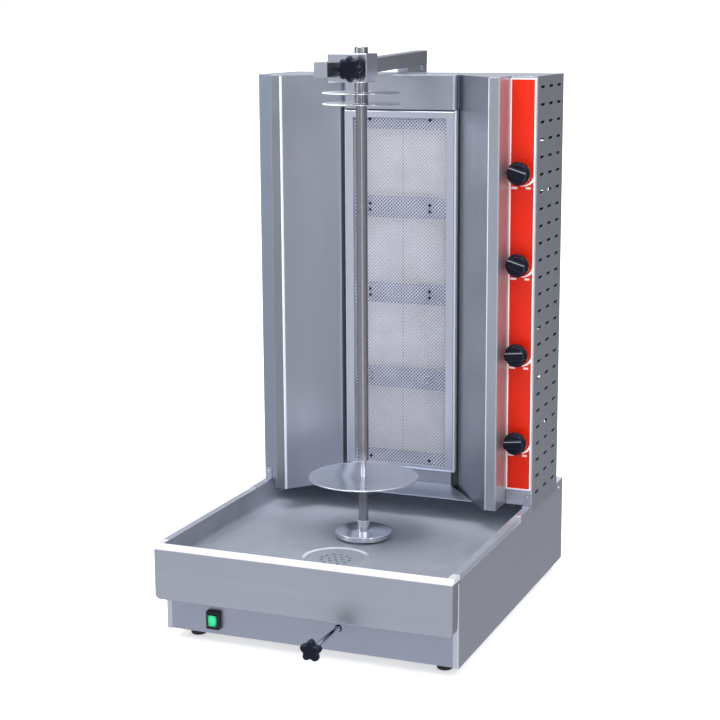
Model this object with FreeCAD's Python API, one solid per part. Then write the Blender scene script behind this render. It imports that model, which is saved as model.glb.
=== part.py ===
import FreeCAD, Part

import math
import os

from FreeCAD import Vector

# Four-burner upright kebab grill.
# X runs across the machine, Y from its front to its back, Z up. Millimetres.
# Helpers take y from the front face of the base and z from the underside of the base.
# at() moves them so that the origin lies on the ground under the middle of the machine.

# Driving dimensions: sheet
sheet = 1.2
bend = 1.5
seam = 0.3
touch_gap = 0.3
shaft_clear = 0.08

# Driving dimensions: base
base_w = 550.0
base_d = 643.0
base_h = 165.4
foot_h = 20.0
foot_r = 15.0
foot_inset_x = 41.0
foot_inset_y = 45.0
side_return = 11.0
rim_w = 12.0
skirt_h = 11.4
floor_vents = 16
floor_vent_step = 20.0
floor_vent_len = 50.0
back_vent_step = 22.0
gland_inset_x = 75.0
gland_z = 60.0
gland_r = 8.0

# Driving dimensions: drip pan
pan_depth = 42.0
pan_edge_r = 9.0
drain_ahead = 133.5
drain_x = 0.0
drain_r = 61.0
drain_drop = 2.5
drain_hole_r = 2.8
drain_ring_step = 13.0
slot_half_w = 15.0
slot_lip_h = 1.8

# Driving dimensions: fat drawer
drawer_proud = 37.2
drawer_front_h = 99.9
bullnose_r = 11.0
drawer_box_clear = 60.0
drawer_box_h = 42.0
drawer_corner_r = 10.0

# Driving dimensions: tower
tower_depth = 175.0
tower_rise = 794.6
behind_tower = 49.0
column_w = 49.5
column_return = 14.0
side_slot_len = 25.0
side_slot_h = 4.8
side_slot_rows = 25
side_slot_low = 20.4
side_slot_top = 19.6
side_slot_step = 54.0
foot_plate_reach = 69.0
back_slot_rows = 8
back_slot_columns = 8

# Driving dimensions: heat wings
wing_inset = 52.0
wing_reach = 60.0
wing_flange_w = 20.5
wing_slant_w = 110.0
wing_return = 11.5
recess_depth = 43.0

# Driving dimensions: burners
burner_count = 4
upper_panel_h = 64.0
frame_lift = 42.6
frame_proud = 15.0
frame_border = 18.0
frame_lip_t = 3.0
mesh_t = 0.8
tile_gap = 32.0
tile_t = 13.0
tile_back = 6.0
burner_wall = 3.0
burner_depth = 46.0
chamber_wall = 8.0
strip_h = 36.0
venturi_r = 13.0
venturi_len = 78.0

# Driving dimensions: gas line and controls
control_inset = 27.0
control_lift = 125.1
control_hole_r = 4.0
label_w = 47.6
label_t = 0.4
label_lift = 30.6
stem_r = 3.4
stem_in_knob = 12.0
knob_gap = 0.9
knob_r = 21.5
knob_neck_r = 10.0
knob_neck = 20.0
knob_skirt = 7.0
knob_reach = 41.0
upper_knob_tilt = 14.0
lower_knob_tilt = -6.0
manifold_size = 20.0
valve_len = 44.0
valve_r = 12.0
valve_port = 18.9
tube_r = 4.0
inlet_r = 10.5
inlet_len = 24.0
inlet_nut_r = 15.0
inlet_nut_t = 12.0
lock_nut_t = 4.0
inlet_lift = 49.6

# Driving dimensions: spit and its drive
spit_ahead = 159.0
drive_disc_r = 52.5
drive_disc_lift = 2.6
drive_disc_t = 10.5
hub_r = 11.8
hub_h = 20.5
hub_floor = 8.5
drive_shaft_r = 10.0
spit_low_r = 9.0
spit_neck_r = 5.5
spit_neck = 31.0
spit_r = 10.0
spit_top_r = 12.0
spit_over_head = 11.0
plate_r = 101.0
plate_lift = 110.0
plate_t = 2.0
top_disc_r = 75.0
top_disc_t = 1.6
top_disc_step = 19.0
shoulder_drop = 48.0
carriage_travel = 30.0

# Driving dimensions: carriage and its rod
rail_x = 85.0
rail_w = 12.0
rail_h = 11.0
carriage_half_x = 105.0
carriage_half_y = 75.0
carriage_t = 3.0
gearbox_half = 48.0
gearbox_h = 44.0
motor_r = 20.0
motor_len = 88.0
bearing_r = 22.0
rod_x = 57.0
rod_z = 42.7
rod_r = 5.0
rod_reach = 104.0
star_r = 21.0
star_t = 20.0

# Driving dimensions: support arm and head
arm_x = -37.0
arm_w = 25.0
arm_lift = 3.0
arm_h = 27.0
arm_wall = 2.0
arm_rise = 9.6
arm_ahead = 95.0
tie_drop = 60.0
tie_h = 30.0
end_cap_t = 2.0
head_x0 = -53.0
head_x1 = 20.5
head_depth = 54.0
head_h = 50.0
head_drop = 10.0
head_screw_lift = 24.0
head_star_r = 22.5
head_star_t = 20.0

# Driving dimensions: switch
switch_inset = 96.0
switch_z = 28.0
switch_w = 26.0
switch_h = 34.0
switch_proud = 9.0
rocker_w = 16.0
rocker_h = 22.0

# Base and tower, worked out from the sizes above
half_w = base_w / 2
tower_y1 = base_d - behind_tower
tower_y0 = tower_y1 - tower_depth
tower_z1 = base_h + tower_rise
tower_top_under = tower_z1 - sheet
floor_plate_z = base_h + sheet
column_z0 = floor_plate_z + sheet
foot_plate_front = tower_y0 - foot_plate_reach
side_slot_z0 = floor_plate_z + side_slot_low
side_slot_pitch = (tower_z1 - side_slot_top - side_slot_z0) / (side_slot_rows - 1)
wing_outer_x = half_w - wing_inset
wing_inner_x = wing_outer_x - wing_slant_w
wing_front_y = tower_y0 - wing_reach
wing_back_y = tower_y0 + recess_depth
wing_bottom_z = column_z0 + touch_gap

# Drawer and pan
drawer_front_z0 = base_h - drawer_front_h
drawer_box_z0 = drawer_front_z0 + 2
drawer_box_w = base_w - 54
drawer_box_back = tower_y0 - spit_ahead - drawer_box_clear
lower_front_h = drawer_front_z0 - 4.5
switch_x = switch_inset - half_w
pan_floor_z = base_h - pan_depth
pan_front_y = -drawer_proud + bullnose_r + touch_gap + sheet
pan_back_y = base_d - behind_tower - 9
pan_half_w = half_w - 2 * sheet - rim_w + 0.6

# Burners
frame_half_w = wing_inner_x - 2
frame_front_y = wing_back_y - frame_proud
frame_z0 = base_h + frame_lift
frame_z1 = tower_z1 - upper_panel_h
burner_pitch = (frame_z1 - frame_z0 - 2 * (frame_border - 2)) / burner_count
tile_h = burner_pitch - tile_gap
mesh_y = frame_front_y + frame_lip_t
strip_y = mesh_y + mesh_t
tile_front_y = wing_back_y + tile_back
tile_w = frame_half_w - 19
burner_levels = [frame_z0 + frame_border - 4.5 + burner_pitch * (i + 0.5) for i in range(burner_count)]
burner_mid_y = tile_front_y + tile_t + (burner_depth - tile_t) / 2
housing_back_y = tile_front_y + burner_depth + 31

# Controls
control_x = half_w - control_inset
control_pitch = burner_pitch + 2
control_levels = [base_h + control_lift + control_pitch * i for i in range(burner_count)]
label_z0 = base_h + label_lift
inlet_z = base_h + inlet_lift

# Spit
spit_y = tower_y0 - spit_ahead
drain_y = spit_y - drain_ahead
drive_disc_z0 = pan_floor_z + drive_disc_lift
plate_z = drive_disc_z0 + plate_lift
spit_shoulder_z = tower_z1 - shoulder_drop
top_disc_z = spit_shoulder_z + 3
arm_z0 = tower_z1 + arm_lift
arm_front_y = spit_y - arm_ahead
arm_bend_y = spit_y + head_depth / 2 + carriage_travel + 5
head_z0 = arm_z0 - head_drop
head_z1 = head_z0 + head_h
head_screw_z = head_z0 + head_screw_lift
spit_end_z = head_z1 + spit_over_head

# Whole machine
post_back_y = base_d + arm_w
front_reach = rod_reach + touch_gap + star_t
origin_y = (post_back_y + end_cap_t - front_reach) / 2

PARTS = {}


def at(x, y, z):
    return Vector(x, y - origin_y, z + foot_h)


def box(x0, x1, y0, y1, z0, z1):
    return Part.makeBox(x1 - x0, y1 - y0, z1 - z0, at(x0, y0, z0))


def rod(r, length, start, direction):
    return Part.makeCylinder(r, length, at(*start), Vector(*direction))


def ring(outer_r, inner_r, length, start, direction=(0, 0, 1)):
    return rod(outer_r, length, start, direction).cut(rod(inner_r, length, start, direction))


def join(shapes):
    first = shapes[0]
    if len(shapes) == 1:
        return first
    return first.fuse(shapes[1:]).removeSplitter()


def group(shapes):
    return Part.makeCompound(shapes)


def mirror_x(shape):
    return shape.mirror(Vector(0, 0, 0), Vector(1, 0, 0))


def corner_arc(before, corner, after, radius):
    # The two ends and the middle of the arc that rounds one corner.
    to_before = (before - corner).normalize()
    to_after = (after - corner).normalize()
    half_angle = to_before.getAngle(to_after) / 2
    reach = radius / math.tan(half_angle)
    centre = corner + (to_before + to_after).normalize() * (radius / math.sin(half_angle))
    start = corner + to_before * reach
    end = corner + to_after * reach
    middle = centre + (corner - centre).normalize() * radius
    return start, middle, end


def rounded_edges(points, radii):
    edges = []
    last = points[0]
    for i in range(1, len(points) - 1):
        if radii[i] <= 0:
            edges.append(Part.makeLine(last, points[i]))
            last = points[i]
            continue
        start, middle, end = corner_arc(points[i - 1], points[i], points[i + 1], radii[i])
        if last.distanceToPoint(start) > 1e-6:
            edges.append(Part.makeLine(last, start))
        edges.append(Part.Arc(start, middle, end).toShape())
        last = end
    edges.append(Part.makeLine(last, points[-1]))
    return edges


def offset_points(points, normal, thick):
    # Each point moved to the left of the path, seen against the normal, with mitred corners.
    moved = []
    for i, point in enumerate(points):
        sides = []
        if i > 0:
            sides.append(normal.cross(point - points[i - 1]).normalize())
        if i < len(points) - 1:
            sides.append(normal.cross(points[i + 1] - point).normalize())
        if len(sides) == 1:
            moved.append(point + sides[0] * thick)
            continue
        bisector = (sides[0] + sides[1]).normalize()
        moved.append(point + bisector * (thick / bisector.dot(sides[0])))
    return moved


def folded(points, normal, span, thick=sheet, inner_r=bend, radii=None):
    # A bent sheet: a path and the same path offset to its left, drawn out along span.
    normal = Vector(*normal)
    other = offset_points(points, normal, thick)
    count = len(points)
    near = [0.0] * count
    far = [0.0] * count
    for i in range(1, count - 1):
        inner = inner_r if radii is None else radii[i]
        turn = (points[i] - points[i - 1]).cross(points[i + 1] - points[i]).dot(normal)
        near[i] = inner + thick if turn > 0 else inner
        far[i] = inner if turn > 0 else inner + thick
    edges = rounded_edges(points, near)
    edges.append(Part.makeLine(points[-1], other[-1]))
    edges.extend(rounded_edges(other[::-1], far[::-1]))
    edges.append(Part.makeLine(other[0], points[0]))
    face = Part.Face(Part.Wire(edges))
    return face.extrude(Vector(*span))


def plan_path(corners, z):
    return [at(x, y, z) for x, y in corners]


def side_path(corners, x):
    return [at(x, y, z) for y, z in corners]


def prism(corners, z0, z1):
    points = plan_path(corners, z0)
    wire = Part.makePolygon(points + [points[0]])
    return Part.Face(wire).extrude(Vector(0, 0, z1 - z0))


def stadium(half_w, half_l, x, y, z0, z1):
    height = z1 - z0
    middle = box(x - half_w, x + half_w, y - half_l, y + half_l, z0, z1)
    ends = [rod(half_w, height, (x, y + s * half_l, z0), (0, 0, 1)) for s in (-1, 1)]
    return join([middle] + ends)


def oblong(y, z, length, height):
    # The eight corners of an oblong punched with snipped ends.
    r = height / 2
    snip = height / 3.4
    far = length / 2
    corners = [(-far, snip - r), (snip - far, -r), (far - snip, -r), (far, snip - r),
               (far, r - snip), (far - snip, r), (snip - far, r), (-far, r - snip)]
    return [(y + dy, z + dz) for dy, dz in corners]


def cross_slot(y, z, length, height):
    # An oblong hole through the tower side.
    depth = 4 * sheet
    return prism_side(oblong(y, z, length, height), half_w - depth / 2, depth)


def regular_bar(count, r, length, start, direction, turn=0.0):
    # A many-sided bar along an axis, for small hardware.
    axis = Vector(*direction).normalize()
    side = axis.cross(Vector(0, 0, 1))
    if side.Length < 0.1:
        side = Vector(1, 0, 0)
    side.normalize()
    up = axis.cross(side)
    spot = at(*start)
    corners = []
    for i in range(count):
        angle = math.pi * 2 * i / count + turn
        corners.append(spot + side * (r * math.cos(angle)) + up * (r * math.sin(angle)))
    return Part.Face(Part.makePolygon(corners + [corners[0]])).extrude(axis * length)


def pipe(points, radius, sides):
    # A drawn tube with mitred turns; its section has a few flat sides.
    spots = [at(*p) for p in points]
    path = Part.makePolygon(spots)
    run = (spots[1] - spots[0]).normalize()
    side = run.cross(Vector(0, 0, 1)).normalize()
    up = run.cross(side)
    ring_points = []
    for i in range(sides):
        angle = math.pi * 2 * (i + 0.5) / sides
        ring_points.append(spots[0] + side * (radius * math.cos(angle)) + up * (radius * math.sin(angle)))
    section = Part.makePolygon(ring_points + [ring_points[0]])
    return path.makePipeShell([section], True, False, 1)


def star_knob(lobes, r, thick, centre, hub_r, bore_r):
    # A star grip with its axis along Y; its back face is at the centre's y.
    x, y, z = centre
    depth = 0.28
    count = lobes * 6
    points = []
    for i in range(count):
        angle = math.pi * 2 * i / count
        wave = (1 + math.cos(lobes * angle)) / 2
        reach = r * (1 - depth * (1 - wave))
        points.append(at(x + reach * math.sin(angle), y - thick * 0.3, z + reach * math.cos(angle)))
    outline = Part.Face(Part.makePolygon(points + [points[0]]))
    head = outline.extrude(Vector(0, -thick * 0.7, 0))
    neck = rod(hub_r, thick * 0.3, (x, y, z), (0, -1, 0))
    bore = rod(bore_r, thick * 0.6, (x, y, z), (0, -1, 0))
    return join([head, neck]).cut(bore)


def base_side(sign):
    # Side wall with a front and a back return; the pan's skirt or the tower lies outside its top.
    x = sign * (half_w - sheet)
    inner = sign * (half_w - sheet - side_return)
    path = plan_path([(inner, 0), (x, 0), (x, base_d), (inner, base_d)], 0)
    height = base_h - sheet
    return folded(path, (0, 0, sign), (0, 0, height))


def base_floor():
    x = half_w - 2 * sheet
    y0 = sheet + bend + seam
    y1 = base_d - sheet - bend - seam
    tray = box(-x, x, y0, y1, 0, sheet)
    for s in (-1, 1):
        edge = s * (x - sheet / 2)
        tray = tray.fuse(box(edge - sheet / 2, edge + sheet / 2, y0 + 12, y1 - 12, 0, 16))
    vent_y = (tower_y0 + tower_y1) / 2
    vents = []
    for i in range(floor_vents):
        middle = floor_vent_step * (i - (floor_vents - 1) / 2)
        vents.append(box(middle - 3, middle + 3, vent_y - floor_vent_len / 2, vent_y + floor_vent_len / 2, -1, 3))
    return tray.cut(vents).removeSplitter()


def base_front_panel():
    # Lower front: the switch and the adjuster rod pass through it.
    x = half_w - sheet - side_return - seam
    top = lower_front_h
    path = side_path([(0, sheet), (0, top), (14, top)], -x)
    panel = folded(path, (-1, 0, 0), (2 * x, 0, 0))
    hole = rod(rod_r + 1.5, 8, (rod_x, -3, rod_z), (0, 1, 0))
    w = switch_w / 2 - 2.2
    h = switch_h / 2 - 2.2
    window = box(switch_x - w, switch_x + w, -3, 5, switch_z - h, switch_z + h)
    return panel.cut([hole, window])


def base_back_panel():
    x = half_w - sheet - side_return - seam
    panel = box(-x, x, base_d - sheet, base_d, sheet, base_h - sheet)
    gland = rod(gland_r + seam, 8, (gland_x(), base_d - 4, gland_z), (0, 1, 0))
    vents = []
    for row in range(4):
        for column in range(8):
            middle = half_w / 8 + back_vent_step * column
            z = base_h * 0.3 + 18 * row
            vents.append(box(middle, middle + 16, base_d - 4, base_d + 4, z, z + 4))
    return panel.cut([gland] + vents)


def gland_x():
    return gland_inset_x - half_w


def feet():
    # Black rubber feet, slightly wider where they meet the base.
    x = half_w - foot_inset_x
    pieces = []
    for sx in (-1, 1):
        for y in (foot_inset_y, base_d - foot_inset_y):
            spot = at(sx * x, y, -foot_h)
            pieces.append(Part.makeCone(foot_r - 1.5, foot_r, foot_h, spot, Vector(0, 0, 1)))
    return group(pieces)


def carriage_rails():
    y0 = spit_y - carriage_half_y - carriage_travel - 12
    y1 = spit_y + carriage_half_y + carriage_travel + 12
    pieces = []
    for s in (-1, 1):
        x = s * rail_x
        bar = box(x - rail_w / 2, x + rail_w / 2, y0, y1, sheet, sheet + rail_h)
        for y in (y0, y1 - 6):
            bar = bar.fuse(box(x - rail_w / 2, x + rail_w / 2, y, y + 6, sheet + rail_h, sheet + rail_h + 8))
        pieces.append(bar.removeSplitter())
    return group(pieces)


def drawer_runners():
    # An angle on each side wall carries the drawer box.
    wall = half_w - 2 * sheet
    reach = drawer_box_w / 2 - 10
    turn_up = 26
    z = drawer_box_z0 - touch_gap - sheet
    y0 = 14.0
    y1 = drawer_box_back + 30
    path = [at(reach, y0, z), at(wall, y0, z), at(wall, y0, z + turn_up)]
    right = folded(path, (0, -1, 0), (0, y1 - y0, 0))
    return group([mirror_x(right), right])


def drip_pan():
    # One pressed tub: side rims with skirts, a drain dish with holes, and a lipped slot for the shaft.
    inner = pan_half_w
    wall = inner + sheet
    top = base_h
    tub = box(-wall, wall, pan_front_y - sheet, pan_back_y + sheet, pan_floor_z - sheet, top)
    tub = tub.makeFillet(pan_edge_r + sheet, bottom_edges(tub))
    rim = box(-half_w, half_w, 0, base_d, top - sheet, top)
    narrow = half_w - 2 * sheet
    for s in (-1, 1):
        x0, x1 = sorted((s * narrow, s * (half_w + 1)))
        rim = rim.cut(box(x0, x1, foot_plate_front, base_d + 1, top - 2 * sheet, top + 1))
    skirts = []
    for s in (-1, 1):
        x0, x1 = sorted((s * (half_w - sheet), s * half_w))
        skirts.append(box(x0, x1, 0, foot_plate_front, top - skirt_h, top))
    solid = join([tub, rim] + skirts)
    hollow = box(-inner, inner, pan_front_y, pan_back_y, pan_floor_z, top + 20)
    hollow = hollow.makeFillet(pan_edge_r, bottom_edges(hollow))
    solid = solid.cut(hollow)
    under = Part.makeCone(drain_r - 4 * drain_drop, drain_r + sheet, drain_drop + sheet,
                          at(drain_x, drain_y, pan_floor_z - drain_drop - sheet), Vector(0, 0, 1))
    dish = Part.makeCone(drain_r - 4 * drain_drop, drain_r, drain_drop,
                         at(drain_x, drain_y, pan_floor_z - drain_drop), Vector(0, 0, 1))
    lip_top = pan_floor_z + slot_lip_h
    lip = stadium(slot_half_w + sheet, carriage_travel, 0, spit_y, pan_floor_z - sheet, lip_top)
    slot = stadium(slot_half_w, carriage_travel, 0, spit_y, pan_floor_z - 5, lip_top + 1)
    solid = solid.fuse([under, lip]).cut([dish, slot] + drain_holes())
    return solid.removeSplitter()


def bottom_edges(shape):
    # The edges round the bottom.
    low = shape.BoundBox.ZMin
    return [e for e in shape.Edges if abs(e.Vertexes[0].Point.z - low) + abs(e.Vertexes[-1].Point.z - low) < 1e-6]


def drain_holes():
    holes = []
    z = pan_floor_z - drain_drop - 2 * sheet
    for step in range(3):
        count = max(1, 6 * step)
        for i in range(count):
            angle = math.pi * 2 * i / count
            x = drain_x + drain_ring_step * step * math.cos(angle)
            y = drain_y + drain_ring_step * step * math.sin(angle)
            holes.append(regular_bar(8, drain_hole_r, 4 * sheet, (x, y, z), (0, 0, 1)))
    return holes


# Fat drawer

def drawer_box():
    x = drawer_box_w / 2
    y0 = -drawer_proud + 24
    z0 = drawer_box_z0
    outer = box(-x, x, y0, drawer_box_back, z0, z0 + drawer_box_h)
    outer = outer.makeFillet(4, bottom_edges(outer))
    inner = box(-x + sheet, x - sheet, y0 + sheet, drawer_box_back - sheet, z0 + sheet, z0 + drawer_box_h + 9)
    inner = inner.makeFillet(4 - sheet, bottom_edges(inner))
    return outer.cut(inner)


def drawer_front():
    # A box front: rolled top, straight face, a finger return below and closed ends.
    y = -drawer_proud
    back = -touch_gap
    inside = y + 24
    path = side_path([(back, base_h - 14), (back, base_h), (y, base_h), (y, drawer_front_z0),
                      (inside, drawer_front_z0), (inside, drawer_front_z0 + 30)], -half_w)
    radii = [0, bend, bullnose_r - sheet, bend, bend, 0]
    shell = folded(path, (1, 0, 0), (base_w, 0, 0), radii=radii)
    end = prism_side([(back, base_h - 14), (back, base_h), (y, base_h), (y, drawer_front_z0),
                      (inside, drawer_front_z0), (inside, base_h - 14)], -half_w, sheet)
    edges = [e for e in end.Edges if on_bullnose(e)]
    end = end.makeFillet(bullnose_r, edges)
    whole = join([shell, end, mirror_x(end)])
    face = box(-half_w, half_w, y - 1, back + 1, drawer_front_z0, base_h + 1)
    corners = [e for e in face.Edges if is_low_corner(e)]
    side = pan_half_w + sheet + touch_gap
    nose = box(-side, side, pan_front_y - sheet - touch_gap, 1, pan_floor_z - sheet - touch_gap, base_h + 1)
    return whole.common(face.makeFillet(drawer_corner_r, corners)).cut(nose)


def prism_side(corners, x, thick):
    points = side_path(corners, x)
    wire = Part.makePolygon(points + [points[0]])
    return Part.Face(wire).extrude(Vector(thick, 0, 0))


def on_bullnose(edge):
    if edge.Vertexes[0].Point.distanceToPoint(edge.Vertexes[-1].Point) > 2 * sheet:
        return False
    spot = edge.CenterOfMass
    corner = at(0, -drawer_proud, base_h)
    return abs(spot.y - corner.y) < 0.1 and abs(spot.z - corner.z) < 0.1


def is_low_corner(edge):
    spot = edge.CenterOfMass
    low = at(0, 0, drawer_front_z0)
    return abs(abs(spot.x) - half_w) < 0.1 and abs(spot.z - low.z) < 0.1


# Tower

def tower_feet():
    # Foot plates on the pan's rims; in front of the tower they have a skirt.
    x_in = half_w - 2 * sheet - rim_w + 2
    x_plate = half_w - sheet - seam
    y0 = foot_plate_front + seam
    y1 = tower_y0 - seam
    plate = box(x_in, x_plate, y0, tower_y1 - sheet, base_h, floor_plate_z)
    toe = box(x_in, half_w, y0, y1, base_h, floor_plate_z)
    skirt = box(half_w - sheet, half_w, y0, y1, base_h - skirt_h, floor_plate_z)
    right = join([plate, toe, skirt])
    return group([mirror_x(right), right])


def tower_side(sign):
    # Control column: slotted side, front face and back return, with a low skirt outside the base.
    front_in = sign * (half_w - column_w)
    x = sign * half_w
    back_in = sign * (half_w - column_return)
    path = plan_path([(front_in, tower_y0), (x, tower_y0), (x, tower_y1), (back_in, tower_y1)], column_z0)
    shell = folded(path, (0, 0, sign), (0, 0, tower_top_under - column_z0), inner_r=2.0)
    x0, x1 = sorted((sign * half_w, sign * (half_w - sheet)))
    skirt = box(x0, x1, tower_y0 + 3.2, tower_y1 - 3.2, base_h - skirt_h, column_z0)
    side = join([shell, skirt])
    slots = []
    for row in range(side_slot_rows):
        for column in range(3):
            y = (tower_y0 + tower_y1) / 2 + side_slot_step * (column - 1)
            z = side_slot_z0 + side_slot_pitch * row
            slots.append(cross_slot(y, z, side_slot_len, side_slot_h))
    if sign < 0:
        slots = [mirror_x(s) for s in slots]
        return side.cut(slots)
    return side.cut(slots + control_holes())


def control_holes():
    # Where the taps' stems pass through the column and its label.
    return [rod(control_hole_r, 10, (control_x, tower_y0 - 5, z), (0, 1, 0)) for z in control_levels]


def tower_outline():
    # The tower seen from above, with its two wings.
    right = [(wing_inner_x, frame_front_y), (wing_inner_x, wing_back_y),
             (wing_outer_x - wing_flange_w, wing_front_y), (wing_outer_x, wing_front_y),
             (half_w - column_w, tower_y0), (half_w, tower_y0), (half_w, tower_y1)]
    left = [(-x, y) for x, y in reversed(right)]
    return right + left


def tower_top():
    return prism(tower_outline(), tower_top_under, tower_z1)


def tower_floor():
    x = half_w - sheet - seam
    return box(-x, x, tower_y0 + sheet + seam, tower_y1 - sheet - seam, floor_plate_z, column_z0)


def tower_back():
    x = half_w - column_return - seam
    panel = box(-x, x, tower_y1 - sheet, tower_y1, column_z0, tower_top_under)
    across = (half_w - column_return) * 1.8 / (back_slot_columns - 1)
    upward = tower_rise * 0.8 / (back_slot_rows - 1)
    vents = []
    for row in range(back_slot_rows):
        for column in range(back_slot_columns):
            middle = across * (column - (back_slot_columns - 1) / 2)
            z = base_h + tower_rise * 0.15 + upward * row
            vents.append(box(middle - 14, middle + 14, tower_y1 - 4, tower_y1 + 4, z, z + 6))
    inlet = rod(inlet_r + 0.5, 8, (control_x, tower_y1 - 4, inlet_z), (0, 1, 0))
    return panel.cut(vents + [inlet])


def wing(sign):
    # One bent sheet: fixing strip, outer side, front flange, slanted reflector and back return.
    corners = [(wing_outer_x + 13, tower_y0 + sheet), (wing_outer_x + 1, tower_y0 + sheet),
               (wing_outer_x, wing_front_y), (wing_outer_x - wing_flange_w, wing_front_y),
               (wing_inner_x, wing_back_y), (wing_inner_x - wing_return, wing_back_y)]
    path = plan_path([(sign * x, y) for x, y in corners], wing_bottom_z)
    height = tower_top_under - wing_bottom_z
    return folded(path, (0, 0, -sign), (0, 0, height))


def upper_panel():
    # Closes the recess above the burner frame; its corners are rolled.
    z0 = frame_z1 + seam
    y0 = wing_back_y - seam
    x = wing_inner_x - 1
    corners = [(-x, y0), (-x, frame_front_y), (x, frame_front_y), (x, y0)]
    path = plan_path(corners, z0)
    return folded(path, (0, 0, 1), (0, 0, tower_top_under - z0), inner_r=6.0)


def drip_apron():
    # Leads the fat from the burner face into the pan: an upright strip and a sloping tongue.
    x_back = wing_inner_x - wing_return - seam
    z_fold = wing_bottom_z + 9.7
    y_tip = wing_front_y + wing_reach * 0.72
    y = wing_back_y - sheet
    slope = (wing_back_y - y_tip) / (wing_back_y - wing_front_y)
    x_tip = wing_inner_x + (wing_outer_x - wing_flange_w - wing_inner_x) * slope - 2 * sheet
    strip = box(-x_back, x_back, y, y + sheet, z_fold, frame_z0 - seam)
    tongue = Part.makePolygon([at(-x_back, y, z_fold), at(x_back, y, z_fold), at(x_tip, y_tip, wing_bottom_z),
                               at(-x_tip, y_tip, wing_bottom_z), at(-x_back, y, z_fold)])
    plate = Part.Face(tongue).extrude(Vector(0, 0, sheet))
    return join([strip, plate])


# Burners

def burner_housing():
    # A heat box behind the frame, closed above and below, with holes for the gas throats.
    x = wing_inner_x - wing_return
    y0 = wing_back_y + sheet
    z0 = frame_z0 + 4
    z1 = frame_z1 - 4
    corners = [(x + 10, y0), (x, y0), (x, housing_back_y), (-x, housing_back_y), (-x, y0), (-x - 10, y0)]
    shell = folded(plan_path(corners, z0), (0, 0, -1), (0, 0, z1 - z0))
    half = sheet / 2
    caps = [box(-x - half, x + half, y0, housing_back_y + half, z, z + sheet) for z in (z0, z1 - sheet)]
    holes = []
    for z in burner_levels:
        holes.append(rod(venturi_r + 1, 20, (x - 10, burner_mid_y, z), (1, 0, 0)))
    return join([shell] + caps).cut(holes)


def burner_frame():
    # A raised bezel round the mesh, bevelled towards its window.
    x = frame_half_w
    y0 = frame_front_y
    y1 = wing_back_y
    outer = box(-x, x, y0, y1, frame_z0, frame_z1)
    bevel = 4.0
    front = [e for e in outer.Edges if abs(e.CenterOfMass.y - (y0 - origin_y)) < 1e-6]
    outer = outer.makeChamfer(bevel, front)
    b = frame_border
    window = box(-x + b, x - b, y0 - 1, y1 + 1, frame_z0 + b - 8, frame_z1 - b + 3)
    back_b = sheet + 1
    recess = box(-x + back_b, x - back_b, mesh_y, y1 + 1, frame_z0 + back_b, frame_z1 - back_b)
    return outer.cut([window, recess])


def burner_mesh():
    x = frame_half_w - sheet - 1 - seam
    return box(-x, x, mesh_y, mesh_y + mesh_t, frame_z0 + 3, frame_z1 - 3)


def divider_strips():
    # Perforated cross strips in front of the joints between burners.
    x = frame_half_w - sheet - 1 - seam
    y = strip_y
    pieces = []
    for i in range(burner_count + 1):
        middle = burner_levels[0] + burner_pitch * (i - 0.5)
        low = middle - strip_h / 2
        high = middle + strip_h / 2
        low = max(low, frame_z0 + 3)
        high = min(high, frame_z1 - 3)
        pieces.append(box(-x, x, y, y + sheet, low, high))
    return group(pieces)


def burner_bodies():
    # A cast box behind each pair of tiles, with its gas throat to the right.
    x = tile_w + burner_wall
    wall = burner_wall
    pieces = []
    for z in burner_levels:
        y0 = tile_front_y
        h = tile_h / 2 + wall
        body = box(-x, x, y0, y0 + burner_depth, z - h, z + h)
        pocket = box(-x + wall, x - wall, y0 - 1, y0 + tile_t, z - h + wall, z + h - wall)
        inset = chamber_wall
        chamber = box(-x + inset, x - inset, y0 + tile_t - 1, y0 + burner_depth - inset / 2,
                      z - h + inset, z + h - inset)
        bore = rod(venturi_r - 3, venturi_len + 14, (x - 10, burner_mid_y, z), (1, 0, 0))
        throat = rod(venturi_r, venturi_len, (x - 1, burner_mid_y, z), (1, 0, 0))
        flare = rod(venturi_r + 3, 8, (x - 1 + venturi_len - 8, burner_mid_y, z), (1, 0, 0))
        pieces.append(join([body, throat, flare]).cut([pocket, chamber, bore]))
    return group(pieces)


def ceramic_tiles():
    pieces = []
    for z in burner_levels:
        for s in (-1, 1):
            x0, x1 = sorted((s * 0.2, s * tile_w))
            pieces.append(box(x0, x1, tile_front_y, tile_front_y + tile_t, z - tile_h / 2, z + tile_h / 2))
    return group(pieces)


def gas_manifold():
    # Square tube up the control column; its foot runs back to the inlet.
    y0 = tower_y0 + sheet + valve_len
    half = manifold_size / 2
    top = control_levels[-1] + 20
    tube = box(control_x - half, control_x + half, y0, y0 + manifold_size, inlet_z - half, top)
    back = tower_y1 - sheet - inlet_nut_t
    foot = box(control_x - half, control_x + half, y0, back, inlet_z - half, inlet_z + half)
    wall = 2.0
    bore_half = half - wall
    bore = box(control_x - bore_half, control_x + bore_half, y0 + wall, y0 + manifold_size - wall,
               inlet_z - bore_half, top - wall)
    way = rod(inlet_r - 4, back - y0 - half, (control_x, y0 + half, inlet_z), (0, 1, 0))
    return join([tube, foot]).cut([bore, way])


def gas_inlet_fitting():
    # Hexagon against the inside of the back sheet and a threaded stub outside.
    y0 = tower_y1 - sheet - inlet_nut_t
    nut = regular_bar(6, inlet_nut_r, inlet_nut_t, (control_x, y0, inlet_z), (0, 1, 0))
    lock = regular_bar(6, inlet_nut_r, lock_nut_t, (control_x, tower_y1, inlet_z), (0, 1, 0))
    length = inlet_nut_t + sheet + lock_nut_t + inlet_len
    stub = rod(inlet_r, length, (control_x, y0, inlet_z), (0, 1, 0))
    bore = rod(inlet_r - 4, length + 2, (control_x, y0 - 1, inlet_z), (0, 1, 0))
    return join([nut, stub, lock]).cut(bore)


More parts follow.
